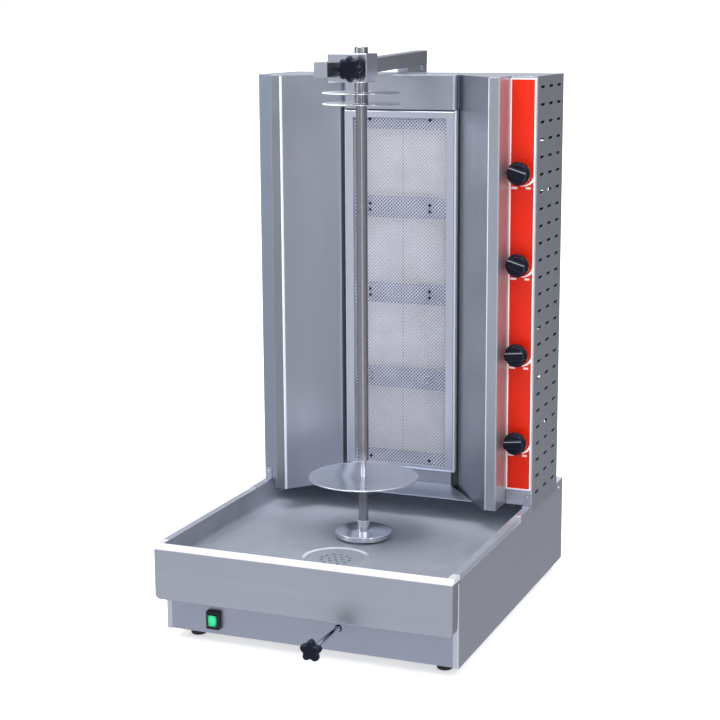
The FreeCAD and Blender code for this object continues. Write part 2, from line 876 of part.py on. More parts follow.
def gas_valves():
    # A tap behind each knob: body against the column, stem through it into the knob.
    pieces = []
    y0 = tower_y0 + sheet
    stem_front = tower_y0 - knob_gap - stem_in_knob
    for z in control_levels:
        body = rod(valve_r, valve_len - 16, (control_x, y0, z), (0, 1, 0))
        block = box(control_x - 13, control_x + 13, y0 + valve_len - 18, y0 + valve_len, z - 13, z + 13)
        side = rod(6, 6, (control_x - valve_port, y0 + valve_len - 10, z), (1, 0, 0))
        stem = rod(stem_r, y0 + 1 - stem_front, (control_x, stem_front, z), (0, 1, 0))
        pieces.append(join([body, block, side, stem]))
    return group(pieces)


def injector_tubes():
    # From each tap to the mouth of its burner's throat, a little lower or higher.
    pieces = []
    y_tap = tower_y0 + sheet + valve_len - 10
    mouth = tile_w + burner_wall - 1 + venturi_len
    for tap_z, burner_z in zip(control_levels, burner_levels):
        x0 = control_x - valve_port
        x1 = x0 - 15
        points = [(x0, y_tap, tap_z), (x1, y_tap, tap_z),
                  (x1, burner_mid_y, burner_z), (mouth + 12, burner_mid_y, burner_z)]
        tube = pipe(points, tube_r, 10)
        nozzle = rod(tube_r + 2.5, 16, (mouth - 4, burner_mid_y, burner_z), (1, 0, 0))
        pieces.append(join([tube, nozzle]))
    return group(pieces)


def thermocouples():
    # One probe beside each burner, bent over the edge of its tile.
    pieces = []
    x = wing_inner_x - wing_return - sheet - 3.2
    for z in burner_levels:
        z = z + venturi_r + 11
        front = tile_front_y - 3.5
        points = [(x, housing_back_y - touch_gap, z), (x, front, z), (x - 14, front, z)]
        pieces.append(pipe(points, 1.4, 6))
    return group(pieces)


def control_label():
    half = label_w / 2
    top = tower_top_under - 2
    strip = box(control_x - half, control_x + half, tower_y0 - label_t, tower_y0, label_z0, top)
    return strip.cut(control_holes())


def corner_tabs():
    # A small angle holds the foot of each column.
    x0 = half_w - 15.5
    x1 = half_w - 1.8
    upright = box(x0, x1, tower_y0 - 1.5, tower_y0, floor_plate_z, base_h + 24)
    toe = box(x0, x1, tower_y0 - 14, tower_y0, floor_plate_z, floor_plate_z + 1.5)
    right = join([upright, toe])
    return group([mirror_x(right), right])


def cable_gland():
    # Empty gland: nut inside, dome outside, clear bore.
    x = gland_x()
    z = gland_z
    dome = Part.makeCone(11, gland_r, 10, at(x, base_d + 5, z), Vector(0, 1, 0))
    collar = rod(12, 5, (x, base_d, z), (0, 1, 0))
    neck = rod(gland_r, 9, (x, base_d - 8, z), (0, 1, 0))
    nut = rod(11, 5, (x, base_d - sheet - 5, z), (0, 1, 0))
    bore = rod(4.5, 40, (x, base_d - 12, z), (0, 1, 0))
    return join([dome, collar, neck, nut]).cut(bore)


def switch_body():
    # Bezel on the front panel and a case behind it; the rocker tips inside the bezel.
    w = switch_w / 2
    h = switch_h / 2
    bezel = box(switch_x - w, switch_x + w, -switch_proud, 0, switch_z - h, switch_z + h)
    front = [e for e in bezel.Edges if e.CenterOfMass.y < at(0, -switch_proud, 0).y + 1e-6]
    bezel = bezel.makeChamfer(1.5, front)
    inset = 2.7
    case = box(switch_x - w + inset, switch_x + w - inset, 0, 22, switch_z - h + inset, switch_z + h - inset)
    well = box(switch_x - rocker_w / 2 - 0.3, switch_x + rocker_w / 2 + 0.3, -switch_proud - 1, 14 - switch_proud,
               switch_z - rocker_h / 2 - 0.6, switch_z + rocker_h / 2 + 0.6)
    return join([bezel, case]).cut(well)


def switch_rocker():
    # Rolled outline seen from the side, with a shallow hollow across its face.
    half = rocker_h / 2
    z = switch_z
    x0 = switch_x - rocker_w / 2
    tip = -switch_proud - 2.0
    back = -switch_proud + 6.0
    ends = [at(x0, tip, z - half + 1), at(x0, tip + 1.6, z), at(x0, tip, z + half - 1)]
    front = Part.Arc(*ends).toShape()
    up = Part.makeLine(ends[2], at(x0, back, z + half / 2))
    rear = Part.makeLine(at(x0, back, z + half / 2), at(x0, back, z - half / 2))
    down = Part.makeLine(at(x0, back, z - half / 2), ends[0])
    face = Part.Face(Part.Wire([front, up, rear, down]))
    return face.extrude(Vector(rocker_w, 0, 0))


def control_knob(z, tilt):
    # Neck, skirt, body and a grip bar, with a blind bore for the tap's stem.
    x = control_x
    y = tower_y0 - knob_gap
    neck = rod(knob_neck_r, knob_neck + 1, (x, y, z), (0, -1, 0))
    skirt = rod(knob_r, knob_skirt, (x, y - knob_neck, z), (0, -1, 0))
    body_y = y - knob_neck - knob_skirt
    body = Part.makeCone(knob_r - 2.5, knob_r - 4.5, 7, at(x, body_y, z), Vector(0, -1, 0))
    reach = knob_r - 3.5
    grip = box(x - reach, x + reach, y - knob_reach, body_y, z - 6.5, z + 6.5)
    grip = grip.common(rod(reach, knob_reach, (x, y, z), (0, -1, 0)))
    grip.rotate(at(x, y, z), Vector(0, 1, 0), tilt)
    bore = rod(stem_r + shaft_clear, stem_in_knob + touch_gap, (x, y, z), (0, -1, 0))
    return join([neck, skirt, body, grip]).cut(bore)


# Spit and drive

def drive_shaft():
    z0 = carriage_top() + gearbox_h - 4
    shaft = rod(drive_shaft_r, drive_disc_z0 - z0, (0, spit_y, z0), (0, 0, 1))
    return shaft


def carriage_top():
    return sheet + rail_h + touch_gap + carriage_t


def drive_disc():
    # Stepped disc with the socket that takes the foot of the spit.
    z = drive_disc_z0
    lower = rod(drive_disc_r - 1.2, drive_disc_t - 3.5, (0, spit_y, z), (0, 0, 1))
    groove = rod(drive_disc_r - 2.4, 1.2, (0, spit_y, z + drive_disc_t - 3.5), (0, 0, 1))
    upper = rod(drive_disc_r, 2.3, (0, spit_y, z + drive_disc_t - 2.3), (0, 0, 1))
    hub = rod(hub_r, hub_h, (0, spit_y, z + drive_disc_t), (0, 0, 1))
    top = z + drive_disc_t + hub_h
    socket = rod(spit_low_r + shaft_clear, hub_h - hub_floor, (0, spit_y, top - hub_h + hub_floor), (0, 0, 1))
    return join([lower, groove, upper, hub]).cut(socket)


def socket_floor_z():
    return drive_disc_z0 + drive_disc_t + hub_floor


def spit_rod():
    # Foot for the disc's socket, a thin neck through the plate, the long rod and a thicker top.
    low = socket_floor_z() + touch_gap
    neck_top = plate_z + plate_t + spit_neck
    foot = rod(spit_low_r, plate_z - low, (0, spit_y, low), (0, 0, 1))
    neck = rod(spit_neck_r, neck_top - plate_z + 1, (0, spit_y, plate_z - 1), (0, 0, 1))
    middle = rod(spit_r, spit_shoulder_z - neck_top, (0, spit_y, neck_top), (0, 0, 1))
    top = rod(spit_top_r, spit_end_z - spit_shoulder_z, (0, spit_y, spit_shoulder_z), (0, 0, 1))
    crown = [e for e in top.Edges if e.CenterOfMass.z > top.BoundBox.ZMax - 0.01]
    top = top.makeChamfer(1.0, crown)
    return join([foot, neck, middle, top])


def meat_plate():
    # Thin pressed plate with a raised rim, on a hub clamped to the spit.
    plate = rod(plate_r, plate_t, (0, spit_y, plate_z), (0, 0, 1))
    lip = ring(plate_r, plate_r - 2.0, 1.2, (0, spit_y, plate_z + plate_t))
    hub = rod(17, 10, (0, spit_y, plate_z - 10), (0, 0, 1))
    low_bore = rod(spit_low_r + 0.05, 11, (0, spit_y, plate_z - 11), (0, 0, 1))
    bore = rod(spit_neck_r + 0.05, plate_t + 3, (0, spit_y, plate_z), (0, 0, 1))
    pins = [rod(2.5, 6, (s * 19, spit_y + 4, plate_z - 2), (0, 0, 1)) for s in (-1, 1)]
    return join([plate, lip, hub]).cut([low_bore, bore] + pins)


def top_discs():
    # Two thin holding discs, each on a short sleeve of its own.
    pieces = []
    for i in range(2):
        z = top_disc_z + top_disc_step * i
        disc = rod(top_disc_r, top_disc_t, (0, spit_y, z), (0, 0, 1))
        sleeve = rod(spit_top_r + 1.5, 3.0, (0, spit_y, z - 0.7), (0, 0, 1))
        bore = rod(spit_top_r + 0.05, 6, (0, spit_y, z - 2), (0, 0, 1))
        pieces.append(join([disc, sleeve]).cut(bore))
    return group(pieces)


# Carriage

def carriage_plate():
    # Sliding plate with side guides and a front tab for the rod.
    z0 = sheet + rail_h + touch_gap
    x = carriage_half_x
    y0 = spit_y - carriage_half_y
    y1 = spit_y + carriage_half_y
    plate = box(-x, x, y0, y1, z0, z0 + carriage_t)
    guides = []
    for s in (-1, 1):
        edge = s * (rail_x + rail_w / 2 + touch_gap + 1.5)
        guides.append(box(edge - 1.5, edge + 1.5, y0, y1, z0 - 8, z0))
    tab = box(rod_x - 14, rod_x + 14, y0, y0 + carriage_t, z0, rod_z + 12)
    return join([plate, tab] + guides)


def gear_motor():
    # Square gearbox with the motor lying across the machine.
    z0 = carriage_top()
    h = gearbox_half
    case = box(-h, h, spit_y - h, spit_y + h, z0, z0 + gearbox_h)
    upright = [e for e in case.Edges if abs(e.Vertexes[0].Point.z - e.Vertexes[-1].Point.z) > 1]
    case = case.makeFillet(6, upright)
    mid = z0 + gearbox_h / 2
    flange = rod(motor_r + 1.5, 6, (-h - 6, spit_y, mid), (1, 0, 0))
    motor = rod(motor_r, motor_len, (-h - 6 - motor_len, spit_y, mid), (1, 0, 0))
    cap = rod(motor_r - 4, 8, (-h - 14 - motor_len, spit_y, mid), (1, 0, 0))
    pocket = rod(drive_shaft_r + shaft_clear, 6, (0, spit_y, z0 + gearbox_h - 5), (0, 0, 1))
    return join([case, flange, motor, cap]).cut(pocket)


def bearing_housing():
    z0 = carriage_top() + gearbox_h
    length = pan_floor_z - sheet - 5.5 - z0
    tube = rod(bearing_r, length, (0, spit_y, z0), (0, 0, 1))
    flange = rod(bearing_r + 8, 5, (0, spit_y, z0), (0, 0, 1))
    bore = rod(drive_shaft_r + shaft_clear, length, (0, spit_y, z0), (0, 0, 1))
    return join([tube, flange]).cut(bore)


def adjuster_rod():
    # From the carriage tab out through the front panel, with a neck for the star knob.
    back = spit_y - carriage_half_y
    length = back + rod_reach
    bar = rod(rod_r, length, (rod_x, -rod_reach, rod_z), (0, 1, 0))
    neck = rod(rod_r - 1.0, 10, (rod_x, -rod_reach - 10, rod_z), (0, 1, 0))
    return join([bar, neck])


def adjuster_knob():
    knob = star_knob(5, star_r, star_t, (rod_x, -rod_reach - touch_gap, rod_z), 9, rod_r - 1.0 + shaft_clear)
    return knob


# Support arm and head

def arm_under(y):
    # Height of the arm's underside: level at the head, rising behind it.
    slope = arm_rise / (base_d - arm_bend_y)
    return arm_z0 + max(0.0, y - arm_bend_y) * slope


def arm_outline(y0, y1, inset):
    low = [(y, arm_under(y) + inset) for y in (y0, arm_bend_y, y1)]
    high = [(y, arm_under(y) + arm_h - inset) for y in (y1, arm_bend_y, y0)]
    return low + high


def arm_post():
    # Square tube behind the base, up to the arm, with a foot plate on the back panel.
    x0 = arm_x - arm_w / 2
    x1 = x0 + arm_w
    w = arm_wall
    outer = prism_side([(base_d, 20), (post_back_y, 20), (post_back_y, arm_under(post_back_y)),
                        (base_d, arm_under(base_d))], x0, arm_w)
    inner = box(x0 + w, x1 - w, base_d + w, post_back_y - w, 20 + w, arm_under(base_d) - w)
    plate = box(x0 - 20, x1 + 20, base_d, base_d + 4, base_h * 0.36, base_h * 0.85)
    tie_z = tower_z1 - tie_drop
    tie = box(x0, x1, tower_y1, base_d, tie_z, tie_z + tie_h)
    return join([outer, plate, tie]).cut(inner)


def long_edges(shape):
    return [e for e in shape.Edges if abs(e.Vertexes[0].Point.y - e.Vertexes[-1].Point.y) > 10]


def support_arm():
    # Square tube, level where the head slides and rising slightly towards the post.
    x0 = arm_x - arm_w / 2
    w = arm_wall
    outer = prism_side(arm_outline(arm_front_y + end_cap_t, post_back_y, 0), x0, arm_w)
    outer = outer.makeChamfer(1.6, long_edges(outer))
    inner = prism_side(arm_outline(arm_front_y, post_back_y + 1, w), x0 + w, arm_w - 2 * w)
    return outer.cut(inner)


def arm_end_caps():
    x0 = arm_x - arm_w / 2
    pieces = []
    for y in (arm_front_y, post_back_y):
        z = arm_under(y)
        cap = box(x0, x0 + arm_w, y, y + end_cap_t, z, z + arm_h)
        edges = [e for e in cap.Edges if abs(e.Vertexes[0].Point.y - e.Vertexes[-1].Point.y) > 1]
        pieces.append(cap.makeChamfer(1.6, edges))
    return group(pieces)


def arm_seat():
    # Wedge between the tower top and the arm that reaches back to the post.
    x0 = arm_x - arm_w / 2 + 2
    y0 = tower_y1 - 30
    y1 = base_d
    return prism_side([(y0, tower_z1), (y1, tower_z1), (y1, arm_under(y1)), (y0, arm_under(y0))], x0, arm_w - 4)


def head_block():
    y0 = spit_y - head_depth / 2
    y1 = spit_y + head_depth / 2
    block = box(head_x0, head_x1, y0, y1, head_z0, head_z1)
    block = block.makeChamfer(1.2, block.Edges)
    gap = touch_gap
    x0 = arm_x - arm_w / 2 - gap
    way = box(x0, x0 + arm_w + 2 * gap, y0 - 1, y1 + 1, arm_z0 - gap, arm_z0 + arm_h + gap)
    bore = rod(bush_r(), head_h + 20, (0, spit_y, head_z0 - 10), (0, 0, 1))
    screw_hole = rod(4.4, 30, (0, y0 - 1, head_screw_z), (0, 1, 0))
    return block.cut([way, bore, screw_hole])


def bush_r():
    return spit_top_r + shaft_clear + 1.5


def top_bush():
    tube = rod(bush_r(), head_z1 - head_z0 - 1.0, (0, spit_y, head_z0 + 0.5), (0, 0, 1))
    bore = rod(spit_top_r + shaft_clear, head_h + 20, (0, spit_y, head_z0 - 10), (0, 0, 1))
    return tube.cut(bore)


def head_knob():
    y = spit_y - head_depth / 2 - 14
    knob = star_knob(8, head_star_r, head_star_t, (0, y, head_screw_z), 9, 4.0)
    screw_end = spit_y - bush_r() - touch_gap
    screw = rod(4.3, screw_end - y + 6, (0, y - 6, head_screw_z), (0, 1, 0))
    return join([knob, screw])


def screws():
    # Pan-head screws on the strips, the tabs and the base.
    pieces = []
    first = burner_levels[0] - burner_pitch / 2
    side = frame_half_w * 0.54
    for i in range(burner_count + 1):
        z = min(max(first + burner_pitch * i, frame_z0 + 18), frame_z1 - 18)
        rows = (-6, 6) if 0 < i < burner_count else (0,)
        for s in (-1, 1):
            for row in rows:
                pieces.append(regular_bar(12, 3.0, 1.8, (s * side, mesh_y, z + row), (0, -1, 0)))
    for s in (-1, 1):
        tab = (s * (half_w - 8.6), tower_y0 - 1.5, base_h + 17)
        pieces.append(regular_bar(12, 2.6, 1.6, tab, (0, -1, 0)))
        wall = (s * (half_w - sheet), tower_y1 + 18.6, base_h - 14)
        pieces.append(regular_bar(12, 3.2, 1.8, wall, (s, 0, 0)))
    return group(pieces)


PARTS["base_side_left"] = base_side(-1)
PARTS["base_side_right"] = base_side(1)
PARTS["base_floor"] = base_floor()
PARTS["base_front_panel"] = base_front_panel()
PARTS["base_back_panel"] = base_back_panel()
PARTS["feet"] = feet()
PARTS["carriage_rails"] = carriage_rails()
PARTS["drawer_runners"] = drawer_runners()
PARTS["drip_pan"] = drip_pan()
PARTS["drawer_box"] = drawer_box()
PARTS["drawer_front"] = drawer_front()
PARTS["tower_feet"] = tower_feet()
PARTS["tower_side_left"] = tower_side(-1)
PARTS["tower_side_right"] = tower_side(1)
PARTS["tower_top"] = tower_top()
PARTS["tower_floor"] = tower_floor()
PARTS["tower_back"] = tower_back()
PARTS["wing_left"] = wing(-1)
PARTS["wing_right"] = wing(1)
PARTS["upper_panel"] = upper_panel()
PARTS["drip_apron"] = drip_apron()
PARTS["burner_housing"] = burner_housing()
PARTS["burner_frame"] = burner_frame()
PARTS["burner_mesh"] = burner_mesh()
PARTS["divider_strips"] = divider_strips()
PARTS["burner_bodies"] = burner_bodies()
PARTS["ceramic_tiles"] = ceramic_tiles()
PARTS["gas_manifold"] = gas_manifold()
PARTS["gas_inlet_fitting"] = gas_inlet_fitting()
PARTS["gas_valves"] = gas_valves()
PARTS["injector_tubes"] = injector_tubes()
PARTS["thermocouples"] = thermocouples()
PARTS["control_label"] = control_label()
PARTS["corner_tabs"] = corner_tabs()
PARTS["cable_gland"] = cable_gland()
PARTS["switch_body"] = switch_body()
PARTS["switch_rocker"] = switch_rocker()
PARTS["carriage_plate"] = carriage_plate()
PARTS["gear_motor"] = gear_motor()
PARTS["bearing_housing"] = bearing_housing()
PARTS["adjuster_rod"] = adjuster_rod()
PARTS["adjuster_knob"] = adjuster_knob()
PARTS["drive_shaft"] = drive_shaft()
PARTS["drive_disc"] = drive_disc()
PARTS["spit_rod"] = spit_rod()
PARTS["meat_plate"] = meat_plate()
PARTS["top_discs"] = top_discs()
PARTS["arm_post"] = arm_post()
PARTS["support_arm"] = support_arm()
PARTS["arm_end_caps"] = arm_end_caps()
PARTS["arm_seat"] = arm_seat()
PARTS["head_block"] = head_block()
PARTS["top_bush"] = top_bush()
PARTS["head_knob"] = head_knob()
PARTS["screws"] = screws()
for number, level in enumerate(control_levels, 1):
    tilt = upper_knob_tilt if number > burner_count / 2 else lower_knob_tilt
    PARTS["control_knob_%d" % number] = control_knob(level, tilt)

os.makedirs("parts", exist_ok=True)
for name, shape in PARTS.items():
    shape.exportStep("parts/" + name + ".step")
    print(name, len(shape.Solids), round(shape.Volume), shape.isValid())
print(len(PARTS), "nodes")
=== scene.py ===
import math

import bmesh
import bpy
from bpy.props import FloatProperty, FloatVectorProperty, PointerProperty
from mathutils import Matrix, Vector


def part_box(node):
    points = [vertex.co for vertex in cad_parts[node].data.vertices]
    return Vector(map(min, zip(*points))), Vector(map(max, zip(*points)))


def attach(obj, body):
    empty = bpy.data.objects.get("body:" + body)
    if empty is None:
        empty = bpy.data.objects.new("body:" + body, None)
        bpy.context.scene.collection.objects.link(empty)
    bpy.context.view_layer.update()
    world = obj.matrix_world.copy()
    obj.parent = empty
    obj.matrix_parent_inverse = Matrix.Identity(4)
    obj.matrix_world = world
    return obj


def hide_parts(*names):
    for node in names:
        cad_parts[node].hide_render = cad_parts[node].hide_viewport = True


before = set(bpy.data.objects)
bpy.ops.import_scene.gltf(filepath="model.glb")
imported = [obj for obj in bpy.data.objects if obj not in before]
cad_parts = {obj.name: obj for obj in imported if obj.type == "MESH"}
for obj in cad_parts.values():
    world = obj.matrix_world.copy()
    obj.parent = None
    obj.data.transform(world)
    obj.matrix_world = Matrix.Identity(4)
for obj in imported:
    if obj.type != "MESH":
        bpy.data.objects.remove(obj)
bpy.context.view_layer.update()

bl_info = {
    "name": "Upright kebab grill",
    "version": (1, 0, 0),
    "blender": (4, 5, 0),
    "location": "3D View > Sidebar > Grill",
    "description": "Dresses the packed model of a four-burner upright kebab grill",
    "category": "Add Mesh",
}

MM = 0.001


def finish(name):
    return bpy.data.materials["grill_" + name]


def coat(mesh, name):
    mesh.materials.clear()
    mesh.materials.append(finish(name))


def low(node):
    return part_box(node)[0]


def high(node):
    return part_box(node)[1]


def middle(node):
    lowest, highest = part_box(node)
    return (lowest + highest) / 2


def spit_axis():
    """The point on the floor under the spit."""
    centre = middle("spit_rod")
    return Vector((centre.x, centre.y, 0))


# Shader maths

def maths(operation):
    """A method of Value that adds one Math node."""
    def method(self, other=None):
        return self.math(operation, self, other)
    return method


class Value:
    """A socket, with operators that add Math nodes, so that masks read as plain sums."""

    def __init__(self, owner, socket):
        self.owner = owner
        self.socket = socket

    def math(self, operation, first, second=None):
        inputs = {0: first} if second is None else {0: first, 1: second}
        return self.owner.out("ShaderNodeMath", {"operation": operation}, inputs)

    def __rsub__(self, other):
        return self.math("SUBTRACT", other, self)

    __add__ = __radd__ = maths("ADD")
    __mul__ = __rmul__ = maths("MULTIPLY")
    __sub__ = maths("SUBTRACT")
    __truediv__ = maths("DIVIDE")
    __pow__ = maths("POWER")
    absolute = maths("ABSOLUTE")
    sine = maths("SINE")
    part = maths("FRACT")
    least = maths("MINIMUM")
    most = maths("MAXIMUM")
    above = maths("GREATER_THAN")

    def ramp(self, start, end, low_value=0.0, high_value=1.0):
        """A smooth step from low_value at start to high_value at end."""
        inputs = {"Value": self, "From Min": start, "From Max": end,
                  "To Min": low_value, "To Max": high_value}
        return self.owner.out("ShaderNodeMapRange", {"interpolation_type": "SMOOTHSTEP"}, inputs)


class Nodes:
    """A node tree in the making. One method adds any node; the rest are short names for common ones."""

    prefix = "ShaderNode"

    def __init__(self, tree):
        self.tree = tree

    def node(self, kind, settings=None, inputs=None):
        made = self.tree.nodes.new(kind if "Node" in kind else self.prefix + kind)
        for key, setting in (settings or {}).items():
            setattr(made, key, setting)
        for key, value in (inputs or {}).items():
            self.feed(made.inputs[key], value)
        return made

    def feed(self, socket, value):
        if isinstance(value, Value):
            self.tree.links.new(value.socket, socket)
        else:
            socket.default_value = (*value, 1.0) if socket.type == "RGBA" else value

    def out(self, kind, settings=None, inputs=None, output=0):
        """One output of a new node."""
        return Value(self, self.node(kind, settings, inputs).outputs[output])

    def axes(self, vector):
        made = self.node("ShaderNodeSeparateXYZ", None, {0: vector})
        return [Value(self, out) for out in made.outputs]

    def mix(self, factor, first, second):
        """A colour between first and second."""
        settings = {"data_type": "RGBA", "clamp_factor": True}
        return self.out("Mix", settings, {0: factor, 6: first, 7: second}, 2)


class Finish(Nodes):
    """A material in the making."""

    def __init__(self, name):
        self.material = bpy.data.materials.new("grill_" + name)
        self.material.use_nodes = True
        super().__init__(self.material.node_tree)
        self.tree.nodes.clear()
        self.output = self.tree.nodes.new("ShaderNodeOutputMaterial")
        self.surface = self.tree.nodes.new("ShaderNodeBsdfPrincipled")
        self.tree.links.new(self.surface.outputs[0], self.output.inputs[0])

    def place(self, stretch=(1, 1, 1), turn=(0, 0, 0)):
        """The point on the object in metres, stretched for a pattern."""
        spot = self.out("TexCoord", output="Object")
        inputs = {"Vector": spot, "Rotation": turn, "Scale": stretch}
        return self.out("Mapping", {"vector_type": "POINT"}, inputs)

    def noise(self, scale=1.0, detail=2.0, roughness=0.5, vector=None, distortion=0.0):
        inputs = {"Scale": scale, "Detail": detail, "Roughness": roughness, "Distortion": distortion,
                  "Vector": vector or self.place()}
        return self.out("TexNoise", None, inputs, "Fac")

    def cells(self, scale, output="Distance"):
        return self.out("TexVoronoi", None, {"Scale": scale, "Vector": self.place()}, output)

    def rounding(self, radius):
        return self.out("Bevel", {"samples": 4}, {"Radius": radius})

    def edge(self, radius):
        """Near 1 on an outer or inner corner of the shape and 0 on its faces."""
        true = self.out("NewGeometry", output="Normal")
        inputs = {0: self.rounding(radius), 1: true}
        return 1 - self.out("VectorMath", {"operation": "DOT_PRODUCT"}, inputs, "Value")

    def bump(self, height, distance, strength=1.0, rounded=0.0):
        inputs = {"Height": height, "Distance": distance, "Strength": strength}
        if rounded:
            inputs["Normal"] = self.rounding(rounded)
        return self.out("Bump", None, inputs)

    def done(self, **sockets):
        """Sets the surface's sockets by name; a keyword's underscores stand for spaces."""
        for name, value in sockets.items():
            self.feed(self.surface.inputs[name.replace("_", " ")], value)
        return self.material


# Shapes

def new_object(name, mesh, body, material, nodes=(), smooth=30.0):
    """Puts a finished mesh in the scene: smooth but for its sharp edges, dressed, riding on its body."""
    if smooth:
        mesh.shade_smooth()
        mesh.set_sharp_from_angle(angle=math.radians(smooth))
    coat(mesh, material)
    obj = bpy.data.objects.new(name, mesh)
    bpy.context.scene.collection.objects.link(obj)
    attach(obj, body)
    if nodes:
        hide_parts(*nodes)
    return obj


def new_piece(name, bm, body, material, nodes=(), smooth=30.0):
    """Makes a piece of a bmesh, with clean seams and outward faces."""
    bmesh.ops.remove_doubles(bm, verts=bm.verts, dist=1e-7)
    bmesh.ops.recalc_face_normals(bm, faces=bm.faces)
    mesh = bpy.data.meshes.new(name)
    bm.to_mesh(mesh)
    bm.free()
    return new_object(name, mesh, body, material, nodes, smooth)


def softened(profile, radius, steps=3):
    """The profile with each inner corner replaced by a short arc, as a tool leaves it."""
    points = [Vector(p) for p in profile]
    result = [points[0]]
    for before, corner, after in zip(points, points[1:], points[2:]):
        back = before - corner
        on = after - corner
        reach = min(radius, back.length * 0.45, on.length * 0.45)
        start = corner + back.normalized() * reach
        end = corner + on.normalized() * reach
        for i in range(steps + 1):
            t = i / steps
            result.append(start * (1 - t) ** 2 + corner * 2 * t * (1 - t) + end * t ** 2)
    result.append(points[-1])
    return result


def turned(bm, profile, centre, segments, axis="Z"):
    """Revolves (radius, height) points about an upright axis, or about one along -Y, at centre."""
    rings = []
    for radius, height in profile:
        ring = []
        for i in range(segments if radius > 1e-9 else 1):
            angle = math.tau * i / segments
            a = radius * math.cos(angle)
            b = radius * math.sin(angle)
            spot = Vector((a, b, height)) if axis == "Z" else Vector((a, -height, b))
            ring.append(bm.verts.new(spot + centre))
        rings.append(ring)
    skin(bm, rings)


def join_rings(bm, first, second):
    count = max(len(first), len(second))
    for i in range(count):
        j = (i + 1) % count
        if len(first) == 1:
            bm.faces.new((first[0], second[i], second[j]))
        elif len(second) == 1:
            bm.faces.new((first[i], first[j], second[0]))
        else:
            bm.faces.new((first[i], first[j], second[j], second[i]))


def skin(bm, rings, closed=False):
    """Joins each ring of vertices to the next and, where asked, closes both ends."""
    for first, second in zip(rings, rings[1:]):
        join_rings(bm, first, second)
    if closed:
        bm.faces.new(rings[0])
        bm.faces.new(rings[-1][::-1])


def turned_piece(name, body, material, profiles, nodes=(), soft=0.4 * MM, segments=128):
    """A piece of the spit: one or more profiles, each turned about the spit's axis."""
    bm = bmesh.new()
    for profile in profiles:
        turned(bm, softened(profile, soft), spit_axis(), segments)
    new_piece(name, bm, body, material, nodes)


class Pattern(Nodes):
    """A Geometry Nodes tree in the making, with a named input for each of its sizes."""

    prefix = "GeometryNode"

    def __init__(self, name, **sizes):
        super().__init__(bpy.data.node_groups.new(name, "GeometryNodeTree"))
        self.values = sizes
        self.tree.interface.new_socket("Geometry", in_out="INPUT", socket_type="NodeSocketGeometry")
        self.tree.interface.new_socket("Geometry", in_out="OUTPUT", socket_type="NodeSocketGeometry")
        for key, value in sizes.items():
            kind = "NodeSocketInt" if isinstance(value, int) else "NodeSocketFloat"
            self.tree.interface.new_socket(key, in_out="INPUT", socket_type=kind)
        self.start = self.tree.nodes.new("NodeGroupInput")

    def size(self, name):
        """An input of the tree; Geometry is the mesh that it starts from."""
        return Value(self, self.start.outputs[name])

    def build(self, name, body, material, geometry, nodes=(), smooth=30.0, start=None):
        """Ends the tree, runs it on the start mesh and leaves a plain mesh that rides on its body."""
        real = self.out("RealizeInstances", None, {0: geometry})
        dressed = self.out("SetMaterial", None, {0: real, 2: finish(material)})
        end = self.tree.nodes.new("NodeGroupOutput")
        self.tree.links.new(dressed.socket, end.inputs[0])
        carrier = bpy.data.objects.new(name + "_tree", start or bpy.data.meshes.new(name + "_tree"))
        bpy.context.scene.collection.objects.link(carrier)
        modifier = carrier.modifiers.new("pattern", "NODES")
        modifier.node_group = self.tree
        for item in self.tree.interface.items_tree:
            if item.in_out == "INPUT" and item.name in self.values:
                modifier[item.identifier] = self.values[item.name]
        graph = bpy.context.evaluated_depsgraph_get()
        mesh = bpy.data.meshes.new_from_object(carrier.evaluated_get(graph))
        mesh.name = name
        bpy.data.objects.remove(carrier)
        return new_object(name, mesh, body, material, nodes, smooth)


def shade(colour, factor):
    return [part * factor for part in colour]


